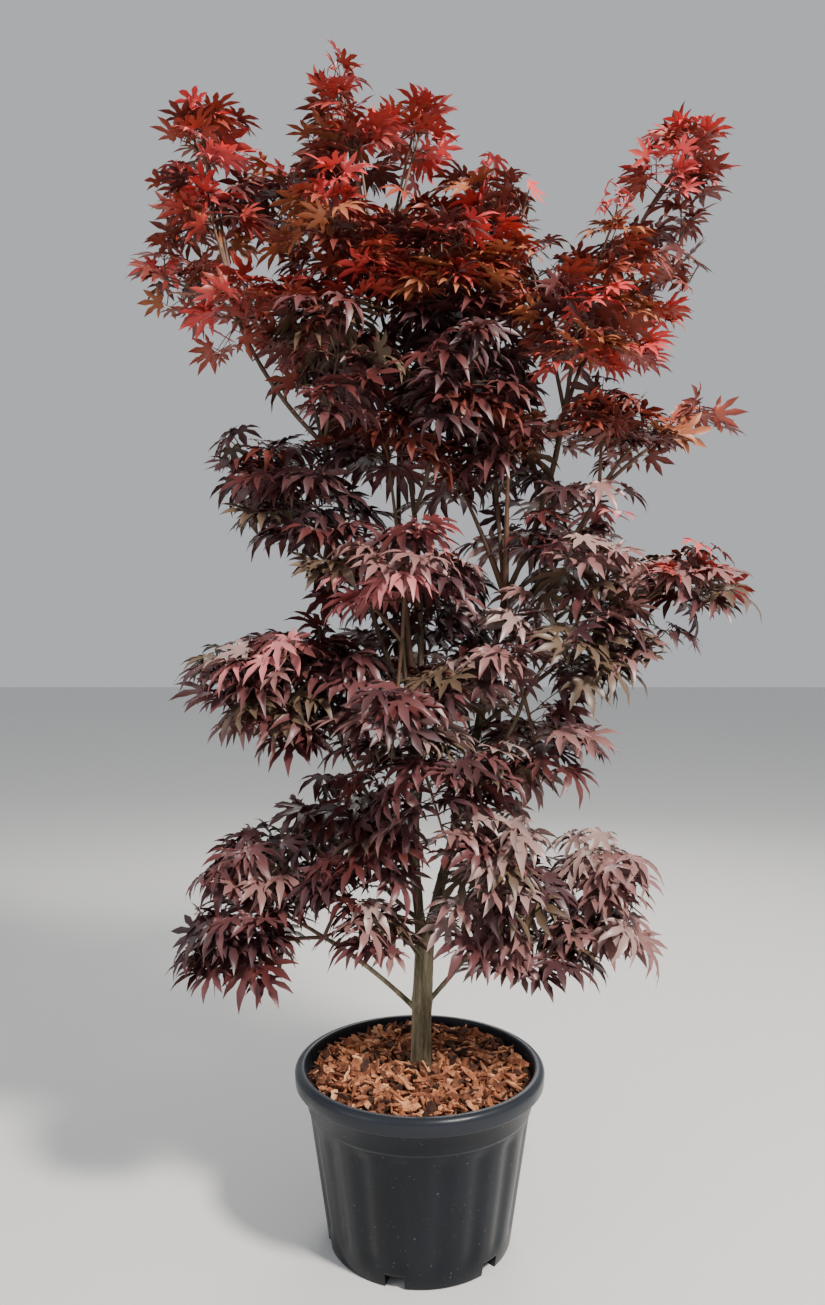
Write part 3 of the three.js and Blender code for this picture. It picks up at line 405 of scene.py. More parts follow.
class Curve:
    """A quadratic Bezier curve."""

    def __init__(self, start, control, end):
        self.start, self.control, self.end = start, control, end

    def point(self, share):
        rest = 1 - share
        return rest * rest * self.start + 2 * rest * share * self.control + share * share * self.end

    def tangent(self, share):
        return unit((1 - share) * (self.control - self.start) + share * (self.end - self.control))

    def points(self, steps):
        return [self.point(step / steps) for step in range(steps + 1)]

    def length(self):
        places = self.points(12)
        return sum(np.linalg.norm(b - a) for a, b in zip(places, places[1:]))


def bowed(start, tip, bow):
    return Curve(start, (start + tip) / 2 + 2 * bow, tip)


# Meshes

def in_scene(name, data):
    """A new object, linked to the scene."""
    thing = bpy.data.objects.new(name, data)
    bpy.context.scene.collection.objects.link(thing)
    return thing


class Shape:
    """Points, faces and the material number of each face, gathered from many small pieces."""

    def __init__(self):
        self.points, self.faces, self.kinds, self.count = [], [], [], 0

    def add(self, points, faces, kind=0):
        points = np.asarray(points, float).reshape(-1, 3)
        self.points.append(points)
        self.faces.extend(tuple(corner + self.count for corner in face) for face in faces)
        self.kinds.extend([kind] * len(faces))
        self.count += len(points)

    def piece(self, name, materials, slot, smooth=True):
        mesh = bpy.data.meshes.new(name)
        mesh.from_pydata((np.vstack(self.points) * MM).tolist(), [], self.faces)
        for material in materials:
            mesh.materials.append(material)
        mesh.polygons.foreach_set("material_index", self.kinds)
        mesh.polygons.foreach_set("use_smooth", [smooth] * len(self.faces))
        mesh.update()
        piece = in_scene(name, mesh)
        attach(piece, "root")
        return piece


def tube(path, radii, sides, relief=None, closed=True):
    """Points and faces of a tube along a path. Relief gives a change of radius by step and side."""
    path = [np.asarray(point, float) for point in path]
    points = []
    across = None
    for step, place in enumerate(path):
        before, after = path[max(step - 1, 0)], path[min(step + 1, len(path) - 1)]
        along = unit(after - before)
        if across is None:
            across = UP if abs(along[2]) < 0.9 else FRONT
        across = square_to(across, along)
        other = np.cross(along, across)
        for side in range(sides):
            angle = 2 * math.pi * side / sides
            radius = radii[step] + (relief(step, side) if relief else 0)
            points.append(place + radius * (across * math.cos(angle) + other * math.sin(angle)))
    faces = []
    for ring in range(len(path) - 1):
        for side in range(sides):
            here, there = ring * sides + side, ring * sides + (side + 1) % sides
            faces.append((here, there, there + sides, here + sides))
    if closed:
        faces.append(tuple(range(sides))[::-1])
        faces.append(tuple(range(len(points) - sides, len(points))))
    return points, faces


def smooth_noise(rng, rows, columns, coarse_rows, coarse_columns):
    """Soft random relief between -1 and 1 on a grid that closes round its columns."""
    knots = rng.uniform(-1, 1, (coarse_rows + 1, coarse_columns))
    row = np.linspace(0, coarse_rows, rows)
    column = np.linspace(0, coarse_columns, columns, endpoint=False)
    low_row = np.minimum(row.astype(int), coarse_rows - 1)
    low_column = column.astype(int)
    row_share = (row - low_row)[:, None]
    column_share = (column - low_column)[None, :]
    row_share = row_share * row_share * (3 - 2 * row_share)
    column_share = column_share * column_share * (3 - 2 * column_share)
    next_column = (low_column + 1) % coarse_columns
    low = mixed(knots[low_row][:, low_column], knots[low_row][:, next_column], column_share)
    high = mixed(knots[low_row + 1][:, low_column], knots[low_row + 1][:, next_column], column_share)
    return mixed(low, high, row_share)


# Materials

def new_material(name, roughness, colour=(0.5, 0.5, 0.5), specular=0.5):
    material = bpy.data.materials.new(name)
    material.use_nodes = True
    shader = material.node_tree.nodes["Principled BSDF"]
    shader.inputs["Base Color"].default_value = (*colour, 1)
    shader.inputs["Roughness"].default_value = roughness
    shader.inputs["Specular IOR Level"].default_value = specular
    return material, material.node_tree, shader


def add_node(tree, kind, **settings):
    """A shader node, each setting given to its attribute or input of that name."""
    node = tree.nodes.new(kind)
    for name, value in settings.items():
        if hasattr(node, name):
            setattr(node, name, value)
        else:
            node.inputs[name.replace("_", " ").title()].default_value = value
    return node


def noise_on(tree, scale, stretch=(1, 1, 1), detail=4.0, roughness=0.6):
    """A noise texture on the object's own coordinates, stretched along its axes."""
    place = add_node(tree, "ShaderNodeTexCoord")
    mapping = add_node(tree, "ShaderNodeMapping", scale=stretch)
    texture = add_node(tree, "ShaderNodeTexNoise", scale=scale, detail=detail, roughness=roughness)
    tree.links.new(place.outputs["Object"], mapping.inputs["Vector"])
    tree.links.new(mapping.outputs["Vector"], texture.inputs["Vector"])
    return texture.outputs["Fac"]


def ramp_on(tree, value, stops):
    """Colours or greys by value. Each stop is a place and a colour."""
    ramp = add_node(tree, "ShaderNodeValToRGB")
    elements = ramp.color_ramp.elements
    while len(elements) < len(stops):
        elements.new(0.5)
    for element, (place, colour) in zip(elements, stops):
        element.position = place
        element.color = (*colour, 1) if isinstance(colour, tuple) else (colour, colour, colour, 1)
    tree.links.new(value, ramp.inputs["Fac"])
    return ramp.outputs["Color"]


def bump_on(tree, shader, value, strength, distance):
    bump = add_node(tree, "ShaderNodeBump", strength=strength, distance=distance)
    tree.links.new(value, bump.inputs["Height"])
    tree.links.new(bump.outputs["Normal"], shader.inputs["Normal"])


def mix_colours(tree, share, first, second):
    mix = add_node(tree, "ShaderNodeMix", data_type="RGBA")
    tree.links.new(share, mix.inputs["Factor"])
    for socket, colour in (("A", first), ("B", second)):
        target = next(one for one in mix.inputs if one.name == socket and one.type == "RGBA")
        if isinstance(colour, tuple):
            target.default_value = (*colour, 1)
        else:
            tree.links.new(colour, target)
    return next(one for one in mix.outputs if one.type == "RGBA")


def object_height(tree):
    place = add_node(tree, "ShaderNodeTexCoord")
    parts = add_node(tree, "ShaderNodeSeparateXYZ")
    tree.links.new(place.outputs["Object"], parts.inputs[0])
    return parts.outputs["Z"]


def pot_material():
    material, tree, shader = new_material("pot_plastic", 0.3, (0.006, 0.008, 0.012), 0.24)
    cloudy = ramp_on(tree, noise_on(tree, 9, (1, 1, 0.35)),
                     [(0.35, (0.004, 0.0055, 0.009)), (0.7, (0.008, 0.0105, 0.0155))])
    specks = ramp_on(tree, noise_on(tree, 170, detail=2.0), [(0.69, 0.0), (0.76, 0.55)])
    dusty = mix_colours(tree, specks, cloudy, (0.20, 0.19, 0.17))
    # Above the rim's lower edge the pot is paler: a painted sheen of the sky on the rim, which also reaches
    # the inside of the rim
    painted_rim_sheen = ramp_on(tree, object_height(tree), [(0.311, 0.0), (0.313, 0.9)])
    tree.links.new(mix_colours(tree, painted_rim_sheen, dusty, (0.020, 0.023, 0.030)), shader.inputs["Base Color"])
    rough = ramp_on(tree, noise_on(tree, 22, (1, 1, 0.3)), [(0.3, 0.24), (0.75, 0.38)])
    tree.links.new(rough, shader.inputs["Roughness"])
    bump_on(tree, shader, noise_on(tree, 900, detail=2.0), 0.12, 0.0004)
    return material


def bark_material():
    material, tree, shader = new_material("bark", 0.8, specular=0.3)
    streaks = noise_on(tree, 44, (1, 1, 0.10), 8.0, 0.75)
    patches = noise_on(tree, 11, (1, 1, 0.5), 3.0)
    pale = ramp_on(tree, streaks, [(0.38, (0.032, 0.024, 0.014)), (0.49, (0.150, 0.121, 0.074)),
                                   (0.62, (0.38, 0.32, 0.215))])
    green = ramp_on(tree, patches, [(0.42, 0.0), (0.7, 0.45)])
    old_wood = mix_colours(tree, green, pale, (0.125, 0.118, 0.055))
    # Higher up the bark turns to the darker brown of young wood: partly its own colour, partly painted
    # shade under the crown
    young_and_shaded_wood = mix_colours(tree, streaks, (0.070, 0.036, 0.026), (0.125, 0.085, 0.055))
    half_height = add_node(tree, "ShaderNodeMath", operation="MULTIPLY")
    half_height.inputs[1].default_value = 0.5
    tree.links.new(object_height(tree), half_height.inputs[0])
    youth_and_shade = ramp_on(tree, half_height.outputs[0], [(0.40, 0.0), (0.62, 0.9)])
    tree.links.new(mix_colours(tree, youth_and_shade, old_wood, young_and_shaded_wood), shader.inputs["Base Color"])
    bump_on(tree, shader, streaks, 0.9, 0.0026)
    return material


def twig_material():
    material, tree, shader = new_material("twig_bark", 0.55, specular=0.4)
    tone = ramp_on(tree, noise_on(tree, 16),
                   [(0.35, (0.085, 0.045, 0.028)), (0.65, (0.17, 0.085, 0.05))])
    tree.links.new(tone, shader.inputs["Base Color"])
    bump_on(tree, shader, noise_on(tree, 300), 0.3, 0.0005)
    return material


def petiole_material():
    material, tree, shader = new_material("petiole", 0.45, (0.20, 0.03, 0.025), 0.45)
    bump_on(tree, shader, noise_on(tree, 400), 0.2, 0.0003)
    return material


def leaf_materials():
    """One plain base colour each, with a fine uneven surface and a slight sheen."""
    materials = {}
    for name, (colour, roughness) in LEAF_COLOURS.items():
        material, tree, shader = new_material(f"leaf_{name}", roughness, colour, 0.5)
        bump_on(tree, shader, noise_on(tree, 260, detail=3.0), 0.35, 0.0006)
        materials[name] = material
    return materials


def chip_materials():
    """Tones of dry bark chips, with painted sunlight and shade among them, each with its own grain."""
    materials = []
    for name, (_, low, high) in CHIP_TONES.items():
        material, tree, shader = new_material(name, 0.85, specular=0.25)
        grain = noise_on(tree, 95, (1, 0.35, 1), 6.0, 0.75)
        tree.links.new(ramp_on(tree, grain, [(0.36, low), (0.64, high)]), shader.inputs["Base Color"])
        bump_on(tree, shader, grain, 0.9, 0.002)
        materials.append(material)
    return materials


def soil_material():
    material, tree, shader = new_material("dark_mulch", 0.95, specular=0.15)
    lumps = noise_on(tree, 60)
    tree.links.new(ramp_on(tree, lumps, [(0.35, (0.018, 0.009, 0.006)), (0.7, (0.075, 0.032, 0.018))]),
                   shader.inputs["Base Color"])
    bump_on(tree, shader, lumps, 0.9, 0.004)
    return material


# Pot

def inner_radius(height):
    return mixed(FOOT_RADIUS - WALL, BODY_TOP_RADIUS - WALL, (height - FLOOR) / (SHOULDER_BOTTOM - FLOOR))


def arc(middle_radius, middle_height, size, start, end, steps):
    """Profile points on a rounded edge."""
    turns = np.linspace(math.radians(start), math.radians(end), steps)
    return [(middle_radius + size * math.cos(turn), middle_height + size * math.sin(turn), 0)
            for turn in turns]


def pot_profile():
    """Radius, height and share of the flute depth, from the middle of the underside to the soil."""
    rim_bottom = POT_HEIGHT - RIM_BAND
    flute_bottom, flute_top = NOTCH_HEIGHT + 4, SHOULDER_BOTTOM - 6
    outline = [
        (0, 0, 0),
        (FOOT_RADIUS - 3, 0, 0),
        (FOOT_RADIUS - 0.6, 0.8, 0),
        (FOOT_RADIUS + 0.4, 3, 0),
        (FOOT_RADIUS + 3, flute_bottom - 8, 0),
    ]
    for step in range(25):
        share = step / 24
        radius = mixed(FOOT_RADIUS + 4, BODY_TOP_RADIUS, share)
        fade = min(1, share * 9, (1 - share) * 14)
        outline.append((radius, mixed(flute_bottom, flute_top, share), fade * fade * (3 - 2 * fade)))
    outline += [
        (BODY_TOP_RADIUS + 0.4, SHOULDER_BOTTOM - 4, 0),
        (BODY_TOP_RADIUS + 2.8, SHOULDER_BOTTOM - 1.5, 0),
        (BODY_TOP_RADIUS + 3.8, SHOULDER_BOTTOM + 1.5, 0),
        (SHOULDER_RADIUS - 1, rim_bottom - 4, 0),
        (SHOULDER_RADIUS + 1.5, rim_bottom - 1, 0),
        (RIM_RADIUS - 6, rim_bottom - 0.5, 0),
        (RIM_RADIUS - 2.5, rim_bottom + 0.6, 0),
        (RIM_RADIUS - 1.2, rim_bottom + 3, 0),
    ]
    outline += arc(RIM_RADIUS - RIM_ROUND, POT_HEIGHT - RIM_ROUND, RIM_ROUND, 0, 90, 12)
    outline += arc(RIM_RADIUS - RIM_WIDTH + RIM_INNER_ROUND, POT_HEIGHT - RIM_INNER_ROUND,
                   RIM_INNER_ROUND, 90, 180, 6)
    outline += [
        (inner_radius(SOIL_TOP) + 4, SOIL_TOP + 8, 0),
        (inner_radius(SOIL_TOP) + 0.4, SOIL_TOP - 10, 0),
        (0, SOIL_TOP - 10, 0),
    ]
    return outline


def make_pot():
    shape = Shape()
    profile = pot_profile()
    inside = profile[1:-1]
    points = [(0, 0, profile[0][1])]
    for radius, height, fluted in inside:
        for sector in range(POT_SECTORS):
            angle = 2 * math.pi * sector / POT_SECTORS
            wave = (0.5 + 0.5 * math.cos(FLUTES * angle)) ** 1.6
            r = radius - FLUTE_DEPTH * fluted * wave
            points.append((r * math.cos(angle), r * math.sin(angle), height))
    points.append((0, 0, profile[-1][1]))
    faces = []
    last = len(points) - 1
    for sector in range(POT_SECTORS):
        following = (sector + 1) % POT_SECTORS
        faces.append((0, 1 + following, 1 + sector))
        for ring in range(len(inside) - 1):
            low, high = 1 + ring * POT_SECTORS, 1 + (ring + 1) * POT_SECTORS
            faces.append((low + sector, low + following, high + following, high + sector))
        top = 1 + (len(inside) - 1) * POT_SECTORS
        faces.append((last, top + sector, top + following))
    shape.add(points, faces)
    pot = shape.piece("pot_shell", [pot_material()], "pot_plastic")
    cut_notches(pot)
    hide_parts("pot")


def cut_notches(pot):
    cutter_shape = Shape()
    for index in range(NOTCHES):
        angle = FIRST_NOTCH_ANGLE + 2 * math.pi * index / NOTCHES
        out = np.array([math.cos(angle), math.sin(angle), 0])
        side = np.array([-out[1], out[0], 0])
        corners = []
        for height in (-NOTCH_HEIGHT, NOTCH_HEIGHT):
            for depth, width in ((-1, -1), (1, -1), (1, 1), (-1, 1)):
                corner = out * (FOOT_RADIUS + depth * NOTCH_DEPTH) + side * width * NOTCH_WIDTH / 2
                corners.append(corner + UP * height)
        cutter_shape.add(corners, [(3, 2, 1, 0), (4, 5, 6, 7), (0, 1, 5, 4), (1, 2, 6, 5),
                                   (2, 3, 7, 6), (3, 0, 4, 7)])
    cutter = cutter_shape.piece("notch_cutter", [], "pot_plastic", smooth=False)
    cut = pot.modifiers.new("notches", "BOOLEAN")
    cut.object = cutter
    cut.operation = "DIFFERENCE"
    cut.solver = "EXACT"
    graph = bpy.context.evaluated_depsgraph_get()
    finished = bpy.data.meshes.new_from_object(pot.evaluated_get(graph))
    pot.modifiers.clear()
    pot.data = finished
    bpy.data.objects.remove(cutter)


# Mulch

def mulch_height(x, y):
    share = 1 - math.hypot(x, y) / CHIP_REACH
    return mixed(MULCH_EDGE, MULCH_MIDDLE, share) + 2.5 * math.sin(x / 23) * math.cos(y / 19)


def make_mulch_bed():
    shape = Shape()
    rings, sectors = 24, 72
    points = [(0, 0, mulch_height(0, 0) - MULCH_BED_DEPTH)]
    edge = inner_radius(SOIL_TOP) + 1.5
    for ring in range(1, rings + 1):
        for sector in range(sectors):
            angle = 2 * math.pi * sector / sectors
            radius = edge * ring / rings
            x, y = radius * math.cos(angle), radius * math.sin(angle)
            points.append((x, y, mulch_height(x, y) - MULCH_BED_DEPTH))
    faces = [(0, 1 + sector, 1 + (sector + 1) % sectors) for sector in range(sectors)]
    for ring in range(rings - 1):
        for sector in range(sectors):
            here, there = 1 + ring * sectors + sector, 1 + ring * sectors + (sector + 1) % sectors
            faces.append((here, here + sectors, there + sectors, there))
    shape.add(points, faces)
    bed = shape.piece("mulch_bed", [soil_material()], "mulch")
    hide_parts("bark_mulch")


def chip_shape(rng, length, width, thickness):
    """A splinter or flake: a ragged outline, thick in the middle, with two broken ends."""
    steps = 4
    upper, lower = [], []
    for step in range(steps + 1):
        share = step / steps
        full = math.sin(math.pi * (0.08 + 0.84 * share)) ** 0.7
        half = width / 2 * full * rng.uniform(0.6, 1.15)
        forward = (share - 0.5) * length
        drift = width * rng.uniform(-0.12, 0.12)
        lift = thickness * rng.uniform(-0.25, 0.25)
        for side in (-1, 1):
            jag = length * rng.uniform(-0.10, 0.10)
            upper.append((forward + jag, drift + side * half, lift + thickness / 2 * full))
            lower.append((forward + jag, drift + side * half * 0.82, lift - thickness / 2 * full))
    points = np.array(upper + lower)
    count = len(upper)
    faces = []
    for step in range(steps):
        a = 2 * step
        faces += [(a, a + 2, a + 3, a + 1), (count + a, count + a + 1, count + a + 3, count + a + 2)]
        faces += [(a, count + a, count + a + 2, a + 2), (a + 1, a + 3, count + a + 3, count + a + 1)]
    end = count - 2
    faces += [(0, 1, count + 1, count), (end, count + end, count + end + 1, end + 1)]
    return points, faces


def make_chips():
    rng = np.random.default_rng(CHIP_SEED)
    shape = Shape()
    shares = [share for share, _, _ in CHIP_TONES.values()]
    for index in range(CHIPS):
        radius = CHIP_REACH * math.sqrt((index + 0.5) / CHIPS)
        angle = index * GOLDEN_ANGLE
        x = radius * math.cos(angle) + rng.uniform(-5, 5)
        y = radius * math.sin(angle) + rng.uniform(-5, 5)
        if math.hypot(x - TRUNK_FOOT[0], y) < CHIP_TRUNK_GAP or math.hypot(x, y) > CHIP_REACH:
            continue
        lengths, widths = LONG_CHIP if rng.random() < LONG_CHIPS else SHORT_CHIP
        length = rng.uniform(*lengths)
        width = length * rng.uniform(*widths)
        points, faces = chip_shape(rng, length, min(width, CHIP_WIDEST), rng.uniform(*CHIP_THICKNESS))
        yaw, pitch, roll = rng.uniform(0, 2 * math.pi), rng.normal(0, 0.4), rng.normal(0, 0.65)
        if rng.random() < STANDING_CHIPS:
            pitch += rng.choice([-0.7, 0.7])
        level = math.cos(pitch)
        forward = np.array([math.cos(yaw) * level, math.sin(yaw) * level, math.sin(pitch)])
        normal = turned_about(square_to(UP, forward), forward, roll)
        side = np.cross(normal, forward)
        height = mulch_height(x, y) + rng.uniform(-4, CHIP_RISE)
        middle = np.array([x, y, height])
        ends = [middle + way * forward * length / 2 for way in (-1, 1)]
        if max(math.hypot(end[0], end[1]) for end in ends) > inner_radius(SOIL_TOP) + 3:
            continue
        placed = middle + points @ np.array([forward, side, normal])
        shape.add(placed, faces, int(rng.choice(len(shares), p=shares)))
    shape.piece("bark_chips", chip_materials(), "mulch", smooth=False)


# Limbs

class Limb:
    def __init__(self, name, curve, radii):
        self.name, self.curve, self.radii = name, curve, radii

    def radius(self, share):
        return mixed(self.radii[0], self.radii[1], share)


def root_on(parent, share, tip, radius):
    """Where a child starts: inside its parent, on the side that it leaves from."""
    axis = parent.curve.tangent(share)
    root = parent.curve.point(share) - axis * radius
    aside = square_to(unit(tip - root), axis)
    return root + aside * max(0, ROOT_ASIDE * (parent.radius(share) - radius))


def grow_limbs():
    limbs = {"trunk": Limb("trunk", bowed(TRUNK_FOOT, TRUNK_FORK, TRUNK_BOW), TRUNK_RADII)}
    for name, parent, at, tip, bow, radii in BOUGHS:
        end = np.array(tip, float)
        root = root_on(limbs[parent], at, end, radii[0])
        limbs[name] = Limb(name, bowed(root, end, np.array(bow, float)), radii)
    return limbs


def add_trunk(shape, limb, rng):
    steps, sides = 64, 40
    shares = np.linspace(0, 1, steps + 1) ** 1.2
    path = [limb.curve.point(share) for share in shares]
    striae = smooth_noise(rng, steps + 1, sides, 5, 20)
    fine = smooth_noise(rng, steps + 1, sides, 22, 40)
    lumps = smooth_noise(rng, steps + 1, sides, 7, 4)
    radii = []
    for share, place in zip(shares, path):
        flare = max(0, 1 - (place[2] - TRUNK_FOOT[2]) / FLARE_HEIGHT) ** 2
        collars = sum(swelling * math.exp(-((place[2] - height) / reach) ** 2)
                      for height, reach, swelling in COLLARS)
        radii.append(limb.radius(share) + 0.7 * flare * (FLARE_RADIUS - TRUNK_RADII[0]) + collars)

    def relief(step, side):
        return 0.8 * striae[step, side] + 0.3 * fine[step, side] + 1.1 * lumps[step, side]

    shape.add(*tube(path, radii, sides, relief))


def add_bough(shape, limb, rng):
    length = limb.curve.length()
    steps = max(10, int(length / 8))
    sides = 16 if limb.radii[0] > 8 else 11
    rings = smooth_noise(rng, steps + 1, sides, max(2, int(length / 45)), max(4, sides // 2))
    wander = smooth_noise(rng, steps + 1, 3, max(2, int(length / 90)), 3)
    path, radii = [], []
    for step in range(steps + 1):
        share = step / steps
        place = limb.curve.point(share)
        loose = math.sin(math.pi * share)
        path.append(place + 0.16 * limb.radii[0] * loose * wander[step])
        collar = 0.28 * math.exp(-share * length / (2.2 * limb.radii[0]))
        joint = 0.10 * math.exp(-(((share * length) % 85 - 42) / 5) ** 2)
        radii.append(limb.radius(share) * (0.92 + collar + joint))
    depth = 0.07 * limb.radii[0]
    shape.add(*tube(path, radii, sides, lambda step, side: depth * rings[step, side]))


def make_bark(limbs):
    rng = np.random.default_rng(BARK_SEED)
    shape = Shape()
    add_trunk(shape, limbs["trunk"], rng)
    for name, limb in limbs.items():
        if name != "trunk":
            add_bough(shape, limb, rng)
    wood = shape.piece("trunk_and_boughs", [bark_material()], "bark")
    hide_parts(*limbs)


# Foliage

MIDDLES = np.array([space[2] for space in MASSES + SPRAYS], float)
REACHES = np.array([space[3] for space in MASSES + SPRAYS], float)


def patch_waves():
    """Long waves in random directions, which together make the crown patchy."""
    rng = np.random.default_rng(PATCH_SEED)
    ways = rng.normal(size=(PATCHES, 3))
    lengths = rng.uniform(*PATCH_LENGTHS, (PATCHES, 1))
    ways = 2 * math.pi * ways / np.linalg.norm(ways, axis=1)[:, None] / lengths
    return ways, rng.uniform(0, 2 * math.pi, PATCHES)


PATCH_WAYS, PATCH_PHASES = patch_waves()
OPEN_MIDDLES = np.array([place for place, _ in OPENINGS], float)
OPEN_REACHES = np.array([reach for _, reach in OPENINGS], float)


def fullness_at(point):
    """About 1 at the edge of a lone mass, more inside it or between neighbours, and patchy."""
    squares = (((point - MIDDLES) / REACHES) ** 2).sum(1)
    open_squares = (((point - OPEN_MIDDLES) / OPEN_REACHES) ** 2).sum(1)
    patches = np.sin(PATCH_WAYS @ point + PATCH_PHASES).sum() / 2
    full, empty = np.exp(-BLEND * (squares - 1)).sum(), np.exp(-BLEND * (open_squares - 1)).sum()
    return full - empty + PATCHINESS * patches


class Space:
    """The space of a mass: its ellipsoid, and a plane towards each mass that it meets. A spray has none."""

    def __init__(self, mass):
        self.middle = np.array(mass[2], float)
        self.reach = np.array(mass[3], float)
        self.planes = []
        if mass not in MASSES:
            return
        for other in MASSES:
            if other is mass:
                continue
            away = np.array(other[2], float) - self.middle
            distance = np.linalg.norm(away)
            away = away / distance
            mine = np.linalg.norm(away * self.reach)
            theirs = np.linalg.norm(away * np.array(other[3], float))
            if distance < mine + theirs + SPACE_GAP:
                self.planes.append((away, distance * mine / (mine + theirs) - SPACE_GAP / 2))

    def edge(self, direction):
        ray = direction * self.reach
        shares = [limit / ray.dot(away) for away, limit in self.planes if ray.dot(away) > limit]
        return self.middle + ray * EDGE_SHARE * min([1.0, *shares])


def direction_of(index, phases, first_way):
    """Directions that fill the sphere evenly, the first one straight away from the bough."""
    if index == 0:
        return first_way
    plastic = 1.324717957244746
    turn = 2 * math.pi * ((phases[0] + index / plastic) % 1)
    height = 2 * ((phases[1] + index / plastic ** 2) % 1) - 1
    level = math.sqrt(1 - height * height)
    return np.array([level * math.cos(turn), level * math.sin(turn), height])


# Palmate leaf, its tail at the origin: turn and length of each lobe, as shares of the leaf's length
LOBES = [(-122, 0.34), (-78, 0.66), (-37, 0.90), (0, 1.0), (37, 0.90), (78, 0.66), (122, 0.34)]
VALLEY = 0.29
STATIONS = [(0.42, 0.092), (0.60, 0.126), (0.80, 0.070)]
SMALL_STATIONS = [(0.62, 0.09)]


def leaf_template(droop, fold, twist):
    """Points and faces of a leaf along +X with its upper side to +Z."""
    points, faces = [(0.0, 0.0, 0.0)], []
    turns = [turn for turn, _ in LOBES]
    bounds = [turns[0] - 24] + [(a + b) / 2 for a, b in zip(turns, turns[1:])] + [turns[-1] + 24]

    def place(radius, degrees, aside=0.0, lift=0.0):
        angle = math.radians(degrees)
        x = radius * math.cos(angle) - aside * math.sin(angle)
        y = radius * math.sin(angle) + aside * math.cos(angle)
        far = math.hypot(x, y)
        points.append((x, y, lift - droop * far * far + twist * y * far))
        return len(points) - 1

    valleys = []
    for index, bound in enumerate(bounds):
        radius = VALLEY if 0 < index < len(bounds) - 1 else 0.12
        valleys.append(place(radius, bound, lift=0.01))
    for index, (turn, length) in enumerate(LOBES):
        right, left = valleys[index], valleys[index + 1]
        middle = place(min(VALLEY, 0.55 * length), turn, lift=-fold * 0.02)
        faces += [(0, right, middle), (0, middle, left)]
        for share, half in STATIONS if length > 0.5 else SMALL_STATIONS:
            next_right = place(length * share, turn, -half * length, fold * half)
            next_middle = place(length * (share + 0.03), turn)
            next_left = place(length * share, turn, half * length, fold * half)
            faces += [(right, next_right, next_middle, middle), (middle, next_middle, next_left, left)]
            right, middle, left = next_right, next_middle, next_left
        tip = place(length, turn, lift=-0.25 * droop * length)
        faces += [(right, tip, middle), (middle, tip, left)]
    return np.array(points), faces


SPREAD_LEAVES = [
    leaf_template(0.06, 0.30, 0.04),
    leaf_template(0.16, 0.45, -0.08),
    leaf_template(0.26, 0.40, 0.06),
]
DROOPING_LEAVES = [
    leaf_template(0.20, 0.60, 0.0),
    leaf_template(0.30, 0.45, -0.08),
    leaf_template(0.40, 0.30, 0.10),
    leaf_template(0.52, 0.50, -0.04),
]


class Growth:
    """How a mass or a spray grows: its space, its colours, its leaves' habit and its random numbers."""

    def __init__(self, deal, space, seed):
        self.deal, self.space = deal, space
        self.leaf_size, self.hangs, self.tilt = HABITS.get(deal, USUAL_HABIT)
        self.rng = np.random.default_rng(seed)
        weights = np.array(list(DEALS[deal].values()), float)
        self.weights = weights / weights.sum()

    def colour(self, draw):
        """The number of a twig's colour, which is dealt unless it is the turn of the bright one."""
        name = list(DEALS[self.deal])[self.rng.choice(len(self.weights), p=self.weights)]
        if self.deal in TIPS and draw % TIPS[self.deal][1] == 0:
            name = TIPS[self.deal][0]
        return list(LEAF_COLOURS).index(name)


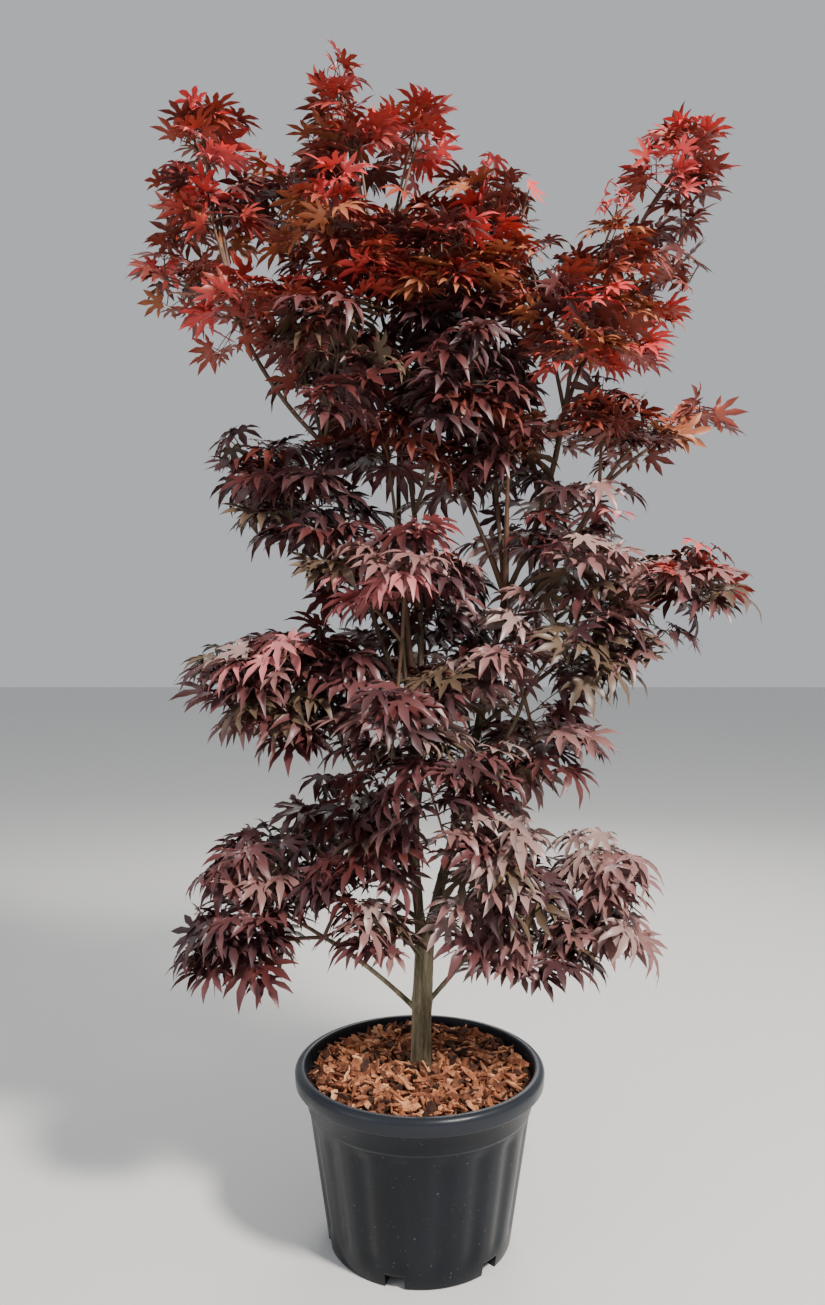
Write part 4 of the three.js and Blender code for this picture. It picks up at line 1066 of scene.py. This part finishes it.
class Foliage:
    """The twigs, petioles and leaves of the whole crown, gathered into a few pieces."""

    def __init__(self, limbs, stems):
        self.limbs = limbs
        lines = []
        for limb in [*limbs.values(), *stems]:
            places = limb.curve.points(6)
            for step, (a, b) in enumerate(zip(places, places[1:])):
                lines.append((*a, *b, limb.radius(step / 6)))
        lines = np.array(lines)
        self.starts, self.spans, self.radii = lines[:, :3], lines[:, 3:6] - lines[:, :3], lines[:, 6]
        self.twigs, self.petioles = Shape(), Shape()
        self.leaves = {}
        self.leaf_middles = np.zeros((0, 3))

    def clear_of_limbs(self, point):
        offset = point - self.starts
        share = np.clip((offset * self.spans).sum(1) / (self.spans ** 2).sum(1), 0, 1)
        gaps = np.linalg.norm(offset - self.spans * share[:, None], axis=1)
        return bool(np.all(gaps > self.radii + LIMB_CLEARANCE))

    def clear_of_leaves(self, point, clearance):
        gaps = np.linalg.norm(self.leaf_middles - point, axis=1)
        return bool(np.all(gaps > clearance))

    def holds_twig(self, end):
        return fullness_at(end) >= TWIG_FULLNESS and self.clear_of_limbs(end)

    def add_leaf(self, growth, root, petiole_way, along, face_way, size, kind, last):
        """A petiole and its leaf, where they fit. The last leaves of a twig may reach further."""
        rng = growth.rng
        petiole = PETIOLE * rng.uniform(0.7, 1.25) * size / LEAF_SIZE
        tail = root + petiole_way * petiole
        middle, tip = tail + along * LEAF_MIDDLE * size, tail + along * size
        if last:
            inside = fullness_at(middle) > LAST_FULLNESS
        else:
            inside = fullness_at(middle) > LEAF_FULLNESS and fullness_at(tip) > TIP_FULLNESS
        if not (inside and self.clear_of_limbs(middle)
                and self.clear_of_leaves(middle, LEAF_CLEARANCE * size)):
            return
        normal = square_to(face_way, along)
        normal = turned_about(normal, along, rng.normal(0, 0.30))
        side = np.cross(normal, along)
        templates = SPREAD_LEAVES if size < LEAF_SIZE * 0.9 else DROOPING_LEAVES
        points, faces = templates[rng.integers(len(templates))]
        placed = tail + size * (points @ np.array([along, side, normal]))
        if (placed.min(0) < CROWN_LOW).any() or (placed.max(0) > CROWN_HIGH).any():
            return
        self.leaves.setdefault(REGIONS[growth.deal], Shape()).add(placed, faces, kind)
        bend = root + petiole_way * petiole * 0.55 + UP * 2
        self.petioles.add(*tube([root, bend, tail + along * 2], PETIOLE_RADII, 3, closed=False))
        self.leaf_middles = np.vstack([self.leaf_middles, middle])

    def dress_twig(self, growth, curve, kind):
        """Pairs of leaves along a twig, each pair square to the one before, and one at its end.

        Says whether any leaf found a place.
        """
        rng, space, size = growth.rng, growth.space, growth.leaf_size
        leaves_before = len(self.leaf_middles)
        pairs = max(1, int(curve.length() / NODE_SPACING))
        aside = square_to(UP, curve.tangent(0.5)) if rng.random() < 0.5 else np.array([1.0, 0, 0])
        for index in range(pairs + 1):
            share = 1 - 0.86 * index / (pairs + 1)
            root, along_twig = curve.point(share), curve.tangent(share)
            quarter_turned = turned_about(square_to(aside, along_twig), along_twig, math.pi / 2)
            aside = square_to(quarter_turned, along_twig)
            outward = unit((root - space.middle) / space.reach)
            for way in (aside, -aside):
                petiole_way = 0.8 * way * LEVEL + 0.55 * along_twig + 0.3 * UP
                petiole_way = unit(petiole_way + rng.normal(0, 0.14, 3))
                hang = rng.uniform(*growth.hangs)
                along = unit(petiole_way * LEVEL + 0.3 * outward * LEVEL - hang * UP)
                face_way = unit(UP + 0.35 * outward * LEVEL + rng.normal(0, growth.tilt, 3))
                leaf_size = size * rng.uniform(0.78, 1.1) * (0.86 if index == 0 else 1)
                self.add_leaf(growth, root, petiole_way, along, face_way, leaf_size, kind, index == 0)
            if index == 0:
                way = unit(along_twig + 0.3 * UP)
                along = unit(along_twig * LEVEL + 0.2 * outward - rng.uniform(*growth.hangs) * UP)
                self.add_leaf(growth, root, way, along, unit(0.3 * outward + UP), 0.9 * size, kind, True)
        return len(self.leaf_middles) > leaves_before

    def add_fork(self, growth, curve, kind, side):
        """A short twig to one side of a twig, where leaves find a place on it. Says whether they do."""
        rng = growth.rng
        share = rng.uniform(*FORK_PLACE)
        start, axis = curve.point(share), curve.tangent(share)
        out = turned_about(square_to(UP, axis), axis, side * rng.uniform(*FORK_TURN))
        length = rng.uniform(*FORK_LENGTH)
        end = start + unit(0.8 * axis + square_to(out, axis)) * length
        if not self.holds_twig(end):
            return False
        fork = Curve(start, mixed(start, end, 0.5) + UP * 0.1 * length, end)
        if not self.dress_twig(growth, fork, kind):
            return False
        self.twigs.add(*tube(fork.points(4), np.linspace(*FORK_RADII, 5), 4))
        return True


def stem_of(mass, limbs):
    """The stem that goes on from the tip of a mass's bough, or from the nearest place for a spray."""
    bough = limbs[mass[1]]
    space = Space(mass)
    radius = bough.radii[1]
    shares = [1] if mass in MASSES else np.linspace(*SPRAY_ROOTS)
    share = min(shares, key=lambda one: np.linalg.norm(bough.curve.point(one) - space.middle))
    root = root_on(bough, share, space.middle, radius)
    onward = unit((space.middle - root) / space.reach)
    tip = mixed(space.middle, space.edge(onward), STEM_PAST_MIDDLE)
    length = np.linalg.norm(tip - root)
    stem = Limb(mass[0], bowed(root, tip, UP * STEM_BOW * length), (radius, STEM_END_RADIUS))
    stem.space = space
    return stem


def grow_mass(foliage, mass, stem, seed):
    """Twigs from the stem or the bough towards the edge of the space, each forked to both sides."""
    random = seeded(seed)
    phases = (random(), random())
    space = stem.space
    growth = Growth(mass[4], space, seed)
    first_way = unit((space.middle - stem.curve.start) / space.reach)
    x, y, z = space.reach
    area = (x * y + y * z + z * x) / 3
    wanted = max(FEWEST_TWIGS, round(mass[5] * area / CROWN_AREA_PER_TWIG))
    buds = [stem.curve.point(share) for share in np.arange(*STEM_BUDS)]
    buds += [foliage.limbs[mass[1]].curve.point(share) for share in np.arange(*BOUGH_BUDS)]
    foliage.twigs.add(*tube(stem.curve.points(8), np.linspace(*stem.radii, 9), 6))
    for draw in range(wanted):
        edge = space.edge(direction_of(draw, phases, first_way))
        end = mixed(space.middle, edge, growth.rng.uniform(*TWIG_REACH)) + UP * TWIG_RISE * z
        if not foliage.holds_twig(end):
            continue
        bud = min(buds, key=lambda place: np.linalg.norm(place - end))
        length = np.linalg.norm(end - bud)
        if length < SHORTEST_TWIG:
            continue
        control = mixed(bud, end, 0.5) + UP * TWIG_RISE * length + growth.rng.normal(0, 0.05 * length, 3)
        curve = Curve(bud, control, end)
        kind = growth.colour(draw)
        dressed = foliage.dress_twig(growth, curve, kind)
        for side in (-1, 1):
            dressed = foliage.add_fork(growth, curve, kind, side) or dressed
        if dressed:
            foliage.twigs.add(*tube(curve.points(6), np.linspace(*TWIG_RADII, 7), 5))


def make_foliage(limbs):
    stems = [stem_of(mass, limbs) for mass in MASSES + SPRAYS]
    foliage = Foliage(limbs, stems)
    for index, (mass, stem) in enumerate(zip(MASSES + SPRAYS, stems)):
        grow_mass(foliage, mass, stem, CROWN_SEED + index)
    materials = list(leaf_materials().values())
    for region, shape in foliage.leaves.items():
        piece = shape.piece(f"{region}_leaves", materials, "foliage")
        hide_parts(*[f"{mass[0]}_foliage" for mass in MASSES if REGIONS[mass[4]] == region])
    foliage.twigs.piece("twigs", [twig_material()], "bark")
    foliage.petioles.piece("petioles", [petiole_material()], "foliage")
    print("leaves", len(foliage.leaf_middles))


# Floor, light and camera

def make_stage():
    size = 30
    corners = [(-size, -size, 0), (size, -size, 0), (size, size, 0), (-size, size, 0)]
    mesh = bpy.data.meshes.new("floor")
    mesh.from_pydata(corners, [], [(0, 1, 2, 3)])
    material, _, _ = new_material("floor", 0.85, (0.72, 0.71, 0.69), 0.2)
    mesh.materials.append(material)
    in_scene("floor", mesh)


def add_light(name, place, target, size, power, colour):
    light = bpy.data.lights.new(name, "AREA")
    light.shape = "DISK"
    light.size = size
    light.energy = power
    light.color = colour
    lamp = in_scene(name, light)
    lamp.location = place
    way = np.array(target) - np.array(place)
    pitch = math.atan2(way[2], math.hypot(way[0], way[1]))
    lamp.rotation_euler = (math.pi / 2 + pitch, 0, math.atan2(way[1], way[0]) - math.pi / 2)


def make_light():
    middle = (0, 0, 1.2)
    add_light("key", (2.4, -2.6, 4.6), middle, 0.8, 490, (1.0, 0.96, 0.90))
    add_light("fill", (-3.4, -2.4, 2.2), middle, 2.6, 36, (0.86, 0.92, 1.0))
    add_light("back", (0.6, 3.4, 3.2), middle, 2.2, 70, (1.0, 0.97, 0.93))
    world = bpy.data.worlds.new("studio")
    bpy.context.scene.world = world
    world.use_nodes = True
    background = world.node_tree.nodes["Background"]
    background.inputs["Color"].default_value = (0.80, 0.83, 0.87, 1)
    background.inputs["Strength"].default_value = 0.62


def make_camera():
    data = bpy.data.cameras.new("camera")
    data.sensor_width = SENSOR_MM
    data.lens = FOCAL_PIXELS / LONG_SIDE_PIXELS * SENSOR_MM
    data.clip_end = 100
    camera = in_scene("camera", data)
    camera.location = CAMERA_PLACE
    camera.rotation_euler = (math.pi / 2, 0, 0)
    bpy.context.scene.camera = camera


def finish_soil():
    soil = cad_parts["potting_soil"]
    soil.data.materials.clear()
    soil.data.materials.append(soil_material())


make_camera()
make_stage()
make_light()
limbs = grow_limbs()
make_pot()
make_mulch_bed()
make_chips()
make_bark(limbs)
make_foliage(limbs)
finish_soil()
